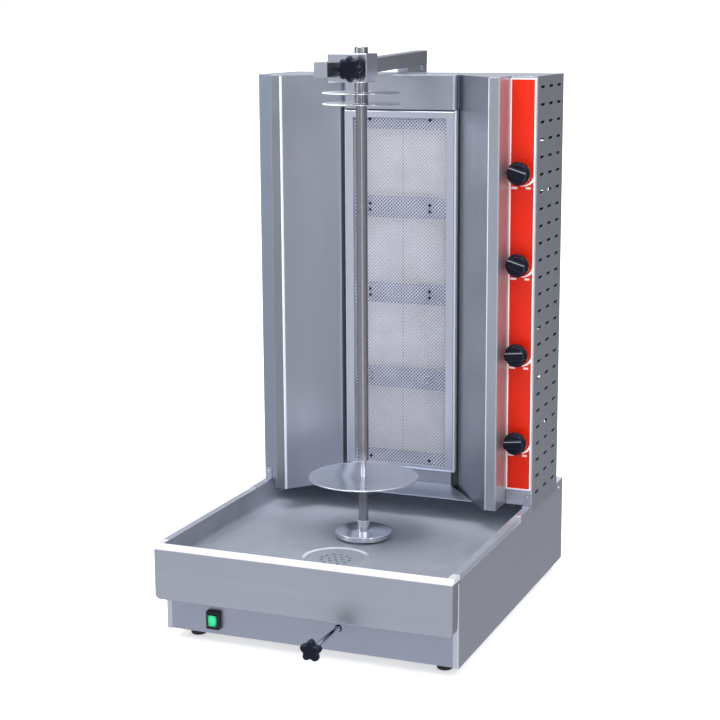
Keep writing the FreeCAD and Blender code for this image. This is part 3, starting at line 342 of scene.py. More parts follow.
def brushed_steel(name, colour, stretch, roughness=0.3, grain=0.3, soil=0.0, fold=(), outside=1.0,
                  painted_shade=(0, 0), lip=None):
    """Stainless sheet with a fine grain; stretch is small along the grain and large across it.

    Between the two distances of fold from the middle the bend has a painted highlight, and near the wings'
    outer edge lies a painted reflection; outside scales the tone past them, painted shade below 1 and painted
    light above. The pair after outside places a painted shadow nearer to the middle than its first number and
    below its second. Above the height of lip lies a painted highlight.
    """
    f = Finish(name)
    fine = f.noise(1.0, 3.0, 0.6, f.place(stretch))
    broad = f.noise(1.0, 2.0, 0.5, f.place([s * 0.07 for s in stretch]))
    cloud = f.noise(4.5, 3.0, 0.5)
    hand = f.noise(14.0, 4.0, 0.6, None, 0.8).ramp(0.52, 0.75)
    tone = (fine - 0.5) * 0.5 + (broad - 0.5) * 0.5 + 0.5
    base = f.mix(tone, shade(colour, 0.9), shade(colour, 1.07))
    base = f.mix(cloud.ramp(0.35, 0.75) * 0.3, base, shade(colour, 0.87))
    if soil:
        base = f.mix(hand * soil, base, (0.24, 0.20, 0.16))
    metallic = 1.0
    if fold:
        x, y, z = f.axes(f.place())
        aside = x.absolute()
        # Past the fold, outside scales the tone: painted shade on the flange below 1, painted light above 1.
        past = aside.above(fold[1])
        # Near the wings' outer edge: a painted reflection.
        rim = aside.above(high("wing_right").x - 14.4 * MM)
        # Painted shadow in the inner fold, near the middle and low down.
        painted_shade_mask = (painted_shade[0] - aside).above(0.0) * (painted_shade[1] - z).above(0.0)
        # Painted highlight along the bend, joined with the rim's painted reflection.
        wear_and_highlight = (aside.above(fold[0]) * (1 - past)).most(rim)
        base = f.mix(past, base, shade(colour, outside))
        base = f.mix(painted_shade_mask, base, shade(colour, 0.25))
        base = f.mix(wear_and_highlight, base, f.mix(rim, (0.80, 0.83, 0.90), (0.47, 0.465, 0.50)))
        metallic = metallic - wear_and_highlight * (0.7 - rim * 0.5)
    if lip:
        # Painted highlight above the lip: pale and less metallic.
        bright = f.axes(f.place())[2].ramp(lip - 1.5 * MM, lip)
        base = f.mix(bright, base, (0.86, 0.87, 0.90))
        metallic = metallic - bright * 0.4
    rough = roughness + (fine - 0.5) * 0.12 + cloud.ramp(0.3, 0.8) * 0.06 + hand * 0.05
    f.done(Base_Color=base, Metallic=metallic, Roughness=rough, Normal=f.bump(fine, 0.00004, grain, 0.0007))


def polished_steel(name, colour, roughness=0.12, rings_at=(14, 14, 900), wear_and_highlight=1.0):
    """Turned or ground bright steel with fine rings, thumb marks and a few hairline scratches."""
    f = Finish(name)
    rings = f.noise(1.0, 2.0, 0.5, f.place(rings_at))
    marks = f.noise(22.0, 4.0, 0.6, None, 1.2).ramp(0.5, 0.8)
    hairs = f.noise(1.0, 2.0, 0.5, f.place((40, 1600, 1600), (0.4, 0.3, 0.9))).ramp(0.68, 0.74) * wear_and_highlight
    base = f.mix(rings, shade(colour, 0.93), shade(colour, 1.04))
    base = f.mix(marks * 0.25 * wear_and_highlight, base, shade(colour, 0.78))
    rough = roughness + rings * 0.05 + marks * 0.1 * wear_and_highlight + hairs * 0.12
    normal = f.bump(rings, 0.00004, 0.2 * wear_and_highlight, 0.0006)
    f.done(Base_Color=base, Metallic=1.0, Roughness=rough, Normal=normal)


def disc_metal(name):
    """The holding discs: mirror bright, with a painted highlight on the half towards -X: pale, less metallic
    and rougher there.
    """
    f = Finish(name)
    x, y, z = f.axes(f.place())
    swirl = f.noise(1.0, 2.0, 0.5, f.place((60, 60, 10)))
    # Painted highlight on the half towards -X.
    painted_highlight = x.ramp(0.004, -0.006)
    base = f.mix(painted_highlight, (0.62, 0.64, 0.70), (0.97, 0.97, 0.98))
    f.done(Base_Color=base, Metallic=1 - painted_highlight * 0.8, Roughness=0.1 + swirl * 0.05 + painted_highlight * 0.1,
           Normal=f.bump(swirl, 0.00002, 0.2, 0.0006))


def pan_steel(name, colour):
    """The drip pan: dull scoured sheet with dried drops, with painted light that brightens it towards the
    tower.

    The sloping wall of the drain dish has a painted highlight where it faces the light.
    """
    f = Finish(name)
    x, y, z = f.axes(f.place())
    fine = f.noise(1.0, 3.0, 0.6, f.place((2.5, 700.0, 700.0)))
    swirl = f.noise(9.0, 4.0, 0.6, None, 2.0)
    drops = 1 - f.cells(70.0).ramp(0.05, 0.12)
    base = f.mix(swirl.ramp(0.3, 0.8), shade(colour, 0.93), shade(colour, 1.06))
    base = f.mix(drops * swirl.ramp(0.5, 0.7) * 0.25, base, shade(colour, 0.7))
    # Painted light: brighter towards the tower, where the pan lies in shadow.
    base = f.mix(y.ramp(0.0, 0.2), base, shade(colour, 2.3))
    dish = 61 * MM
    behind = y - (spit_axis().y - 133.5 * MM)
    far = (x * x + behind * behind) ** 0.5
    wall = far.ramp(dish - 6.5 * MM, dish - 4.5 * MM) * (1 - far.ramp(dish - 0.5 * MM, dish + 1 * MM))
    lit = (behind - x * 0.6).ramp(-0.005, 0.035)
    # Painted highlight on the dish's sloping wall, on its lit side.
    base = f.mix(wall * lit * 0.7, base, (0.80, 0.82, 0.86))
    f.done(Base_Color=base, Metallic=0.35, Roughness=0.42 + (fine - 0.5) * 0.1 + swirl * 0.06,
           Normal=f.bump(fine, 0.00003, 0.2, 0.0009))


def zinc_coat(name):
    """Galvanised sheet with its spangle."""
    f = Finish(name)
    grey = f.out("RGBToBW", None, {0: f.cells(90.0, "Color")})
    cloud = f.noise(12.0, 3.0)
    base = f.mix(grey, (0.36, 0.38, 0.40), (0.56, 0.58, 0.61))
    rough = 0.42 + grey * 0.12 + cloud * 0.08
    f.done(Base_Color=base, Metallic=0.9, Roughness=rough, Normal=f.bump(grey, 0.00005, 0.4))


def black_plastic(name, colour, roughness):
    """Moulded phenolic: an even colour, a fine skin and edges that years of hands have polished smoother,
    painted paler as a highlight.
    """
    f = Finish(name)
    skin = f.noise(2600.0, 2.0)
    cloud = f.noise(60.0, 3.0)
    edge_wear_and_highlight = f.edge(0.0009).ramp(0.01, 0.15)
    base = f.mix(cloud.ramp(0.35, 0.8) * 0.4, colour, shade(colour, 1.7))
    # Painted highlight along the edges, over their real polish.
    base = f.mix(edge_wear_and_highlight * 0.8, base, (0.15, 0.155, 0.18))
    rough = roughness + cloud * 0.08 - edge_wear_and_highlight * 0.06 + (skin - 0.5) * 0.04
    f.done(Base_Color=base, Roughness=rough, Specular_IOR_Level=0.26,
           Specular_Tint=(0.6, 0.68, 1.0), Normal=f.bump(skin, 0.00003, 0.3, 0.0006))


def black_rubber(name):
    f = Finish(name)
    grain = f.noise(1500.0, 3.0)
    dust = f.noise(45.0, 4.0).ramp(0.5, 0.8)
    base = f.mix(dust * 0.5, (0.012, 0.012, 0.013), (0.06, 0.058, 0.054))
    f.done(Base_Color=base, Roughness=0.62 + dust * 0.2, Specular_IOR_Level=0.35,
           Normal=f.bump(grain, 0.00008, 0.5, 0.001))


def turned_brass(name):
    f = Finish(name)
    rings = f.noise(1.0, 2.0, 0.5, f.place((30, 700, 30)))
    tarnish = f.noise(35.0, 4.0).ramp(0.45, 0.75)
    base = f.mix(rings, (0.60, 0.43, 0.17), (0.74, 0.56, 0.26))
    base = f.mix(tarnish * 0.6, base, (0.30, 0.20, 0.10))
    f.done(Base_Color=base, Metallic=1.0, Roughness=0.25 + tarnish * 0.2,
           Normal=f.bump(rings, 0.00004, 0.3, 0.0004))


def cast_iron(name):
    f = Finish(name)
    grit = f.noise(420.0, 5.0, 0.65)
    cloud = f.noise(20.0, 3.0)
    base = f.mix(cloud, (0.055, 0.053, 0.052), (0.13, 0.12, 0.115))
    f.done(Base_Color=base, Metallic=0.7, Roughness=0.6 + grit * 0.15,
           Normal=f.bump(grit, 0.0004, 0.5, 0.001))


def motor_paint(name):
    f = Finish(name)
    peel = f.noise(320.0, 2.0)
    wear_and_highlight = f.edge(0.0015).ramp(0.05, 0.4) * f.noise(120.0, 4.0).ramp(0.45, 0.6)
    base = f.mix(wear_and_highlight, (0.045, 0.055, 0.065), (0.4, 0.4, 0.4))
    f.done(Base_Color=base, Metallic=wear_and_highlight, Roughness=0.4 + peel * 0.1,
           Normal=f.bump(peel, 0.00012, 0.4, 0.0008))


def heat_steel(name, colour, metallic=0.9, roughness=0.34):
    """Guard steel that the flame has dulled, with a trace of brown."""
    f = Finish(name)
    cloud = f.noise(26.0, 4.0)
    fleck = f.noise(700.0, 2.0)
    base = f.mix(cloud.ramp(0.3, 0.75) * 0.6, colour, shade(colour, 0.78))
    base = f.mix(cloud.ramp(0.62, 0.85) * 0.08, base, (0.34, 0.28, 0.24))
    f.done(Base_Color=base, Metallic=metallic, Roughness=roughness + fleck * 0.15,
           Normal=f.bump(fleck, 0.00005, 0.4))


def pierced_ceramic(name):
    """Pale fired clay pierced by rows of fine holes, with a dark joint down the middle of each burner."""
    f = Finish(name)
    pitch = 2.6 * MM
    row_share = 0.866
    x, y, z = f.axes(f.place())
    row = z / (pitch * row_share)
    shift = (row * 0.5).part().above(0.5) * 0.5
    across = (x / pitch + shift).part() - 0.5
    up = row.part() - 0.5
    far = (across * across + up * up * row_share ** 2) ** 0.5
    hole = 1 - far.ramp(0.27, 0.34)
    joint = 1 - x.absolute().ramp(0.5 * MM, 1.1 * MM)
    base = f.mix(f.noise(18.0, 4.0), (0.60, 0.59, 0.61), (0.50, 0.49, 0.51))
    base = f.mix((hole * 0.5).most(joint * 0.9), base, (0.16, 0.16, 0.18))
    height = (1 - hole).least(1 - joint)
    f.done(Base_Color=base, Roughness=0.85, Normal=f.bump(height, 0.0006, 0.8))


def red_film(name, field, faded, print_colour):
    """Printed film: a pale border, and under each knob a swelling arc between two small marks."""
    f = Finish(name)
    x, y, z = f.axes(f.place())
    lowest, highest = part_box("control_label")
    centre = (lowest + highest) / 2
    margin = 2.4 * MM
    arc_radius = 24.2 * MM
    near_mark, off_mark, marks_below = -14.5 * MM, 11.5 * MM, 28 * MM
    sides = (x - centre.x).absolute().above((highest.x - lowest.x) / 2 - margin)
    ends = (z - centre.z).absolute().above((highest.z - lowest.z) / 2 - margin)
    knob = middle("control_knob_1")
    pitch = middle("control_knob_2").z - knob.z
    across = x - knob.x
    up = (((z - knob.z) / pitch + 0.5).part() - 0.5) * pitch
    far = (across * across + up * up) ** 0.5
    swell = across.ramp(-4 * MM, 24 * MM, 0.3 * MM, 2.0 * MM)
    arc = swell.above((far - arc_radius).absolute()) * (0.0 - up).above(4 * MM) * across.above(-17 * MM)
    near = (across - near_mark).absolute().ramp(4.5 * MM, 6.5 * MM)
    off = (across - off_mark).absolute().ramp(3.5 * MM, 5.5 * MM)
    row = (up + marks_below).absolute().ramp(1.3 * MM, 2.4 * MM)
    marks = (1 - near.least(off)) * (1 - row)
    beside = (middle("control_knob_4").z + pitch / 2 - z).above(0.0)
    printed = (sides + ends + (arc + marks * 0.8) * beside).least(1.0)
    base = f.mix(f.noise(30.0, 3.0), field, faded)
    base = f.mix(printed, base, print_colour)
    peel = f.noise(500.0, 2.0)
    f.done(Base_Color=base, Roughness=0.36 + peel * 0.08, Specular_IOR_Level=0.22,
           Normal=f.bump(peel, 0.00004, 0.3))


def lit_lamp(name, light):
    """The lit rocker: clear green plastic with a brighter middle where the lamp sits."""
    f = Finish(name)
    centre = middle("switch_rocker")
    x, y, z = f.axes(f.place())
    across = (x - centre.x) / (8 * MM)
    up = (z - centre.z) / (11 * MM)
    glow = 1 - (across * across + up * up).ramp(0.1, 1.6)
    grain = f.noise(900.0, 2.0)
    base = f.mix(glow, (0.0, 0.16, 0.06), (0.01, 0.42, 0.16))
    f.done(Base_Color=base, Roughness=0.2 + grain * 0.05, Normal=f.bump(grain, 0.00003, 0.3, 0.0006),
           Emission_Color=f.mix(glow, (0.0, 0.06, 0.02), light), Emission_Strength=0.55)


def make_finishes(colours):
    """Every finish of the grill, by name."""
    across, upright, along = (2.5, 700.0, 700.0), (700.0, 700.0, 2.5), (700.0, 2.5, 700.0)
    wing_side = high("wing_right").x
    wing_fold = low("wing_right").x
    frame_corner = high("burner_frame")
    # Top of the painted shadow in the wings' inner folds.
    painted_shade_top = frame_corner.z + 2 * MM

    def sheet(*colour):
        return [part * tint for part, tint in zip(colour, colours.sheet_tint)]

    brushed_steel("sheet_across", sheet(0.53, 0.56, 0.635), across)
    brushed_steel("sheet_upright", sheet(0.50, 0.525, 0.585), upright)
    brushed_steel("sheet_along", sheet(0.47, 0.48, 0.545), along)
    # Painted shade: a darker copy of the sheet for the front panel, standing for the shadow under the fascia.
    brushed_steel("lower_sheet", sheet(0.44, 0.475, 0.575), across, 0.36)
    brushed_steel("base_sheet", sheet(0.72, 0.735, 0.84), along, 0.34)
    brushed_steel("cap_sheet", sheet(0.50, 0.53, 0.60), along, 0.34)
    # Painted shade: a darker, bluer copy of the side sheet for the tower's left side.
    brushed_steel("left_sheet", sheet(0.33, 0.385, 0.47), upright, 0.36)
    brushed_steel("side_sheet", sheet(0.58, 0.605, 0.67), upright, 0.36)
    # The rounded lip of the fascia carries a painted highlight.
    brushed_steel("fascia_sheet", sheet(0.53, 0.56, 0.635), across, lip=high("drawer_front").z - 8 * MM)
    # The frame's bent edge carries a painted highlight.
    brushed_steel("frame_sheet", sheet(0.67, 0.715, 0.82), upright, 0.34,
                  fold=(frame_corner.x - 2.6 * MM, frame_corner.x + 2 * MM))
    # Past the fold the left wing's flange is painted darker (painted shade); each bend carries a painted
    # highlight and each inner fold below the frame a painted shadow.
    brushed_steel("wing_sheet_left", sheet(0.52, 0.545, 0.62), upright, 0.34, 0.12, 0.03,
                  (wing_side - 36 * MM, wing_side - 32.4 * MM), 0.62, (wing_fold + 19 * MM, painted_shade_top))
    # The right wing's sheet is a darker copy of the left's, painted shade; its flange past the fold is
    # painted lighter (painted light).
    brushed_steel("wing_sheet_right", sheet(0.345, 0.36, 0.40), upright, 0.34, 0.12, 0.03,
                  (wing_side - 34.8 * MM, wing_side - 33 * MM), 1.42, (wing_fold + 15 * MM, painted_shade_top))
    pan_steel("pan_sheet", sheet(0.29, 0.308, 0.355))
    polished_steel("bright_steel", (0.60, 0.615, 0.67), 0.18, wear_and_highlight=0.6)
    polished_steel("head_steel", (0.60, 0.625, 0.70), 0.22, (300, 900, 300))
    polished_steel("plate_steel", (0.78, 0.81, 0.89), 0.22, wear_and_highlight=0.3)
    polished_steel("turned_steel", (0.68, 0.70, 0.76), 0.16, wear_and_highlight=0.25)
    polished_steel("rod_steel", (0.31, 0.31, 0.335), 0.2, (20, 20, 120), 0.25)
    disc_metal("disc_steel")
    zinc_coat("zinc")
    black_plastic("phenolic", colours.grips, 0.16)
    # Pale plastic for the painted highlight strip on each grip bar.
    black_plastic("pointer", colours.highlight_strips, 0.3)
    black_plastic("switch_plastic", (0.012, 0.012, 0.014), 0.34)
    black_rubber("rubber")
    turned_brass("brass")
    cast_iron("iron")
    motor_paint("paint")
    heat_steel("guard_steel", colours.guard, 0.6, 0.3)
    heat_steel("strip_steel", (0.20, 0.23, 0.33))
    heat_steel("dark_screw", (0.05, 0.05, 0.06))
    pierced_ceramic("ceramic")
    red_film("red_film", colours.label, colours.label_faded, colours.label_print)
    lit_lamp("green_lamp", colours.lamp)


CAD_FINISHES = {
    "lower_sheet": ["base_front_panel"],
    "sheet_across": ["base_back_panel", "drawer_box", "tower_back", "tower_top", "arm_seat", "upper_panel",
                     "drip_apron"],
    "base_sheet": ["base_side_left", "base_side_right", "tower_feet"],
    "fascia_sheet": ["drawer_front"],
    "cap_sheet": ["arm_end_caps"],
    "sheet_along": ["support_arm"],
    "left_sheet": ["tower_side_left"],
    "sheet_upright": ["corner_tabs", "arm_post"],
    "side_sheet": ["tower_side_right"],
    "frame_sheet": ["burner_frame"],
    "pan_sheet": ["drip_pan"],
    "wing_sheet_left": ["wing_left"],
    "wing_sheet_right": ["wing_right"],
    "bright_steel": ["screws", "drive_shaft", "drive_disc", "spit_rod", "meat_plate", "top_discs",
                     "adjuster_rod", "thermocouples"],
    "head_steel": ["head_block"],
    "zinc": ["base_floor", "carriage_rails", "carriage_plate", "drawer_runners", "tower_floor",
             "burner_housing", "gas_manifold"],
    "phenolic": ["adjuster_knob", "head_knob", "control_knob_1", "control_knob_2", "control_knob_3",
                 "control_knob_4", "cable_gland"],
    "switch_plastic": ["switch_body"],
    "green_lamp": ["switch_rocker"],
    "rubber": ["feet"],
    "brass": ["gas_inlet_fitting", "gas_valves", "injector_tubes", "top_bush"],
    "iron": ["burner_bodies"],
    "paint": ["gear_motor", "bearing_housing"],
    "guard_steel": ["burner_mesh"],
    "strip_steel": ["divider_strips"],
    "ceramic": ["ceramic_tiles"],
    "red_film": ["control_label"],
}


def islands(node):
    """(lowest corner, highest corner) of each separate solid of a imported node."""
    bm = bmesh.new()
    bm.from_mesh(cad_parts[node].data)
    bmesh.ops.remove_doubles(bm, verts=bm.verts, dist=1e-6)
    left = set(bm.verts)
    boxes = []
    while left:
        found = [left.pop()]
        for vert in found:
            for edge in vert.link_edges:
                other = edge.other_vert(vert)
                if other in left:
                    left.remove(other)
                    found.append(other)
        boxes.append((Vector(min(v.co[i] for v in found) for i in range(3)),
                      Vector(max(v.co[i] for v in found) for i in range(3))))
    bm.free()
    return sorted(boxes, key=lambda pair: tuple(pair[0]))


class GRILL_OT_finishes(bpy.types.Operator):
    """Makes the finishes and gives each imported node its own"""

    bl_idname = "grill.finishes"
    bl_label = "Finishes"

    def execute(self, context):
        make_finishes(context.scene.grill_colours)
        for name, nodes in CAD_FINISHES.items():
            for node in nodes:
                coat(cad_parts[node].data, name)
        return {"FINISHED"}


class GRILL_OT_guard(bpy.types.Operator):
    """Weaves the slanting wire guard in front of the tiles and folds the cross strips behind it"""

    bl_idname = "grill.guard"
    bl_label = "Burner guard"

    def execute(self, context):
        sizes = context.scene.grill_guard
        self.wires("guard_wires_rising", -45, 1.0, sizes.wire, sizes.pitch, ["burner_mesh"])
        self.wires("guard_wires_falling", 45, -1.0, sizes.cross_wire, sizes.pitch)
        self.strips(sizes)
        return {"FINISHED"}

    def wires(self, name, turn, side, wire, pitch, nodes=()):
        """Parallel wires at a slant, each crimped over and under the ones that cross it."""
        lowest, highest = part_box("burner_mesh")
        centre = middle("burner_mesh")
        centre.y = lowest.y + wire * 0.95
        width = highest.x - lowest.x
        height = highest.z - lowest.z
        half = math.ceil(math.hypot(width, height) / 2 / pitch)
        reach = half * pitch
        p = Pattern(name, Wires=2 * half + 1, Wire=wire / 2, Crimp=wire * 0.42 * side)
        line = p.out("CurvePrimitiveLine", None, {0: (-reach, 0, 0), 1: (reach, 0, 0)})
        line = p.out("ResampleCurve", None, {0: line, "Count": p.size("Wires")})
        starts = p.out("MeshLine", None, {"Count": p.size("Wires"), "Start Location": (0, 0, -reach),
                                          "Offset": (0, 0, pitch)})
        wires = p.out("InstanceOnPoints", None, {"Points": starts, "Instance": line})
        wires = p.out("RealizeInstances", None, {0: wires})
        x, y, z = p.axes(p.out("InputPosition"))
        crossing = ((x + z) * (math.pi / pitch) + math.pi / 2).sine()
        offset = p.out("ShaderNodeCombineXYZ", None, {1: crossing * p.size("Crimp")})
        wires = p.out("SetPosition", None, {0: wires, "Offset": offset})
        wires = p.out("Transform", None, {0: wires, "Translation": tuple(centre),
                                          "Rotation": (0, math.radians(turn), 0)})
        x, y, z = p.axes(p.out("InputPosition"))
        outside = (x - centre.x).absolute().above(width / 2) + (z - centre.z).absolute().above(height / 2)
        wires = p.out("DeleteGeometry", {"domain": "POINT"}, {0: wires, "Selection": outside})
        section = p.out("CurvePrimitiveCircle", None, {"Resolution": 4, "Radius": p.size("Wire")})
        p.build(name, "housing", "guard_steel", p.out("CurveToMesh", None, {0: wires, 1: section}), nodes)

    def strips(self, sizes):
        """Flat cross strips whose long edges are folded back towards the tiles."""
        lowest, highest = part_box("divider_strips")
        level = lowest.y + 1.4 * MM
        thick = 0.8 * MM
        fold = 5 * MM
        bend = 1 * MM
        bend_inside = 1.4 * MM
        tall = 35.5 * MM
        bm = bmesh.new()
        for low_corner, high_corner in islands("divider_strips"):
            grow = sizes.strip_grow if high_corner.z - low_corner.z > tall else 0.0
            base = max(low_corner.z - grow, lowest.z)
            top = min(high_corner.z + grow, highest.z)
            outline = [(fold, base), (bend, base), (0, base + bend), (0, top - bend), (bend, top),
                       (fold, top), (fold, top - thick), (bend, top - thick), (thick, top - bend_inside),
                       (thick, base + bend_inside), (bend, base + thick), (fold, base + thick)]
            ends = [[bm.verts.new((x, level + back, z)) for back, z in outline]
                    for x in (lowest.x, highest.x)]
            skin(bm, ends, closed=True)
        new_piece("divider_strips_folded", bm, "housing", "strip_steel", ["divider_strips"])


class GRILL_OT_screws(bpy.types.Operator):
    """Sets a pan-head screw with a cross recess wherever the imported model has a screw"""

    bl_idname = "grill.screws"
    bl_label = "Screws"

    def execute(self, context):
        strip, case = [], []
        strip_reach = 200 * MM
        for lowest, highest in islands("screws"):
            centre = (lowest + highest) / 2
            if highest.x - lowest.x < highest.z - lowest.z:
                side = 1 if centre.x > 0 else -1
                case.append(((lowest.x if side > 0 else highest.x, centre.y, centre.z), (side, 0, 0)))
            else:
                group = strip if abs(centre.x) < strip_reach else case
                group.append(((centre.x, highest.y, centre.z), (0, -1, 0)))
        radius = context.scene.grill_guard.screw_head / 2
        self.heads("strip_screws", strip, radius, "dark_screw", ["screws"])
        self.heads("case_screws", case, radius, "bright_steel")
        return {"FINISHED"}

    def heads(self, name, places, radius, material, nodes=()):
        points = bpy.data.meshes.new(name + "_places")
        points.from_pydata([spot for spot, facing in places], [], [])
        ahead = points.attributes.new("facing", "FLOAT_VECTOR", "POINT")
        ahead.data.foreach_set("vector", [a for spot, facing in places for a in facing])
        p = Pattern(name, Radius=radius, Rise=radius * 0.58)
        head = p.out("MeshCone", None, {"Vertices": 20, "Radius Top": radius * 0.74,
                                        "Radius Bottom": p.size("Radius"), "Depth": p.size("Rise")})
        recess = (radius * 1.25, radius * 0.26, radius * 0.5)
        for turn in (0, math.pi / 2):
            bar = p.out("MeshCube", None, {"Size": recess})
            bar = p.out("Transform", None, {0: bar, "Translation": (0, 0, radius * 0.58),
                                            "Rotation": (0, 0, turn)})
            head = p.out("MeshBoolean", {"operation": "DIFFERENCE", "solver": "EXACT"}, {0: head, 1: bar})
        facing = p.out("InputNamedAttribute", {"data_type": "FLOAT_VECTOR"}, {"Name": "facing"})
        turn = p.out("FunctionNodeAlignRotationToVector", {"axis": "Z"}, {"Vector": facing})
        heads = p.out("InstanceOnPoints", None, {"Points": p.size("Geometry"), "Instance": head,
                                                 "Rotation": turn})
        p.build(name, "housing", material, heads, nodes, 25, points)


class GRILL_OT_spit(bpy.types.Operator):
    """Turns the spit, its two holding discs, the meat plate and the drive disc"""

    bl_idname = "grill.spit"
    bl_label = "Spit and drive"

    def execute(self, context):
        self.rod()
        self.plate()
        self.holding_discs()
        self.drive()
        return {"FINISHED"}

    def rod(self):
        lowest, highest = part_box("spit_rod")
        seat = low("meat_plate").z + 10 * MM
        neck_top = seat + 33 * MM
        shoulder = low("top_discs").z - 2.3 * MM
        top_r = (highest.x - lowest.x) / 2
        middle_r = top_r - 2 * MM
        foot_r = top_r - 3 * MM
        neck_r = top_r - 6.5 * MM
        edge = 1 * MM
        foot_top = seat - 0.2 * MM
        foot = [(0, lowest.z), (foot_r - edge, lowest.z), (foot_r, lowest.z + edge), (foot_r, foot_top),
                (0, foot_top)]
        upper = [(0, neck_top), (middle_r - edge, neck_top), (middle_r, neck_top + edge),
                 (middle_r, shoulder - 0.8 * MM), (top_r, shoulder), (top_r, highest.z - 1.2 * MM),
                 (top_r - 1.2 * MM, highest.z), (0, highest.z)]
        turned_piece("spit_turned", "spit", "rod_steel", [foot, upper], ["spit_rod"], 0.5 * MM, 64)
        neck_low, neck_high = seat - 1 * MM, neck_top + 0.5 * MM
        neck = [(0, neck_low), (neck_r, neck_low), (neck_r, neck_high), (0, neck_high)]
        turned_piece("spit_neck", "spit", "bright_steel", [neck], (), 0.3 * MM, 48)

    def plate(self):
        lowest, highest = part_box("meat_plate")
        radius = highest.x
        top = highest.z
        face = top - 0.4 * MM
        under = lowest.z + 10 * MM
        hub = 17 * MM
        bore = 9.05 * MM
        neck = 5.55 * MM
        profile = [(bore, lowest.z), (hub - 1 * MM, lowest.z), (hub, lowest.z + 1 * MM), (hub, under),
                   (radius - 2.5 * MM, under), (radius, under + 1.0 * MM), (radius, top - 0.5 * MM),
                   (radius - 0.5 * MM, top), (radius - 1.2 * MM, top), (radius - 1.8 * MM, face),
                   (neck, face), (neck, under), (bore, under), (bore, lowest.z)]
        turned_piece("meat_plate_turned", "spit", "plate_steel", [profile], ["meat_plate"])

    def holding_discs(self):
        lowest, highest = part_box("top_discs")
        radius = (highest.x - lowest.x) / 2 - 5.5 * MM
        sleeve = 13.5 * MM
        bore = 12.05 * MM
        thick = 3.0 * MM
        profiles = []
        for base in (lowest.z, highest.z - thick):
            under, face, top = base + 0.7 * MM, base + 2.3 * MM, base + thick
            profiles.append([(bore, base), (sleeve, base), (sleeve, under), (radius, under), (radius, face),
                             (sleeve, face), (sleeve, top), (bore, top), (bore, base)])
        turned_piece("holding_discs", "spit", "disc_steel", profiles, ["top_discs"], 0.3 * MM)

    def drive(self):
        lowest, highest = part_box("drive_disc")
        radius = highest.x
        face = lowest.z + 10.5 * MM
        hub = 11.8 * MM
        bore = 9.08 * MM
        groove = radius - 2.4 * MM
        foot = radius - 1.2 * MM
        profile = [(0, lowest.z), (radius - 2.2 * MM, lowest.z), (foot, lowest.z + 1.0 * MM),
                   (foot, face - 3.6 * MM), (groove, face - 3.4 * MM), (groove, face - 2.4 * MM),
                   (radius, face - 2.3 * MM), (radius, face - 0.9 * MM), (radius - 0.9 * MM, face),
                   (hub + 1.5 * MM, face), (hub, face + 1.2 * MM), (hub, highest.z - 1.0 * MM),
                   (hub - 1.0 * MM, highest.z), (bore, highest.z), (bore, highest.z - 12 * MM),
                   (0, highest.z - 12 * MM)]
        turned_piece("drive_disc_turned", "drive", "turned_steel", [profile], ["drive_disc"])


def star_outline(lobes, radius, depth, angle):
    """The radius of a star grip: broad rounded lobes with tighter valleys."""
    wave = (1 + math.cos(lobes * angle)) / 2
    return radius * (1 - depth * (1 - wave ** 0.75))


def star_grip(bm, centre, lobes, radius, depth, thick, neck, neck_length, segments=120):
    """A moulded star grip whose axis lies along Y, with a domed face towards -Y and a neck behind."""
    layers = [(0.0, neck, 0.0), (neck_length, neck, 0.0), (neck_length, neck + 1 * MM, 0.4),
              (neck_length + 0.3 * MM, radius * 0.93, 1.0), (neck_length + 1.6 * MM, radius, 1.0),
              (neck_length + thick * 0.55, radius, 1.0), (neck_length + thick * 0.8, radius * 0.95, 1.0),
              (neck_length + thick * 0.95, radius * 0.80, 0.85), (neck_length + thick, radius * 0.55, 0.5),
              (neck_length + thick * 0.98, radius * 0.38, 0.0), (neck_length + thick * 0.94, 0.0, 0.0)]
    rings = []
    for forward, reach, star in layers:
        ring = []
        for i in range(segments if reach else 1):
            angle = math.tau * i / segments
            r = star_outline(lobes, reach, depth * star, angle)
            ring.append(bm.verts.new(centre + Vector((r * math.sin(angle), -forward, r * math.cos(angle)))))
        rings.append(ring)
    skin(bm, rings)
    bm.faces.new(rings[0][::-1])


class GRILL_OT_star_grips(bpy.types.Operator):
    """Moulds the star grips of the head clamp and of the adjuster rod"""

    bl_idname = "grill.star_grips"
    bl_label = "Star grips"

    def execute(self, context):
        self.grip("adjuster_grip", "adjuster", "adjuster_knob", 5, 0.30)
        self.grip("head_grip", "head_clamp", "head_knob", 8, 0.20)
        return {"FINISHED"}

    def grip(self, name, body, node, lobes, depth):
        lowest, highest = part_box(node)
        radius = (highest.z - lowest.z) / 2
        thick = 20 * MM
        neck_length = thick * 0.3
        back = lowest.y + thick
        centre = Vector((middle(node).x, back, highest.z - radius))
        bm = bmesh.new()
        star_grip(bm, centre, lobes, radius, depth, thick - neck_length, 9 * MM, neck_length)
        reach = highest.y - back
        if reach > 1 * MM:
            screw = [(0, 0), (4.2 * MM, 0), (4.2 * MM, reach + 4 * MM), (0, reach + 4 * MM)]
            turned(bm, softened(screw, 0.3 * MM), Vector((centre.x, highest.y, centre.z)), 24, "Y")
        new_piece(name, bm, body, "phenolic", [node], 40)


def on_knob(base, tilt, along, across, forward):
    """A point on a knob: along and across its tilted grip bar, and forward from the panel."""
    return base + Vector((along * math.cos(tilt) + across * math.sin(tilt), -forward,
                          across * math.cos(tilt) - along * math.sin(tilt)))


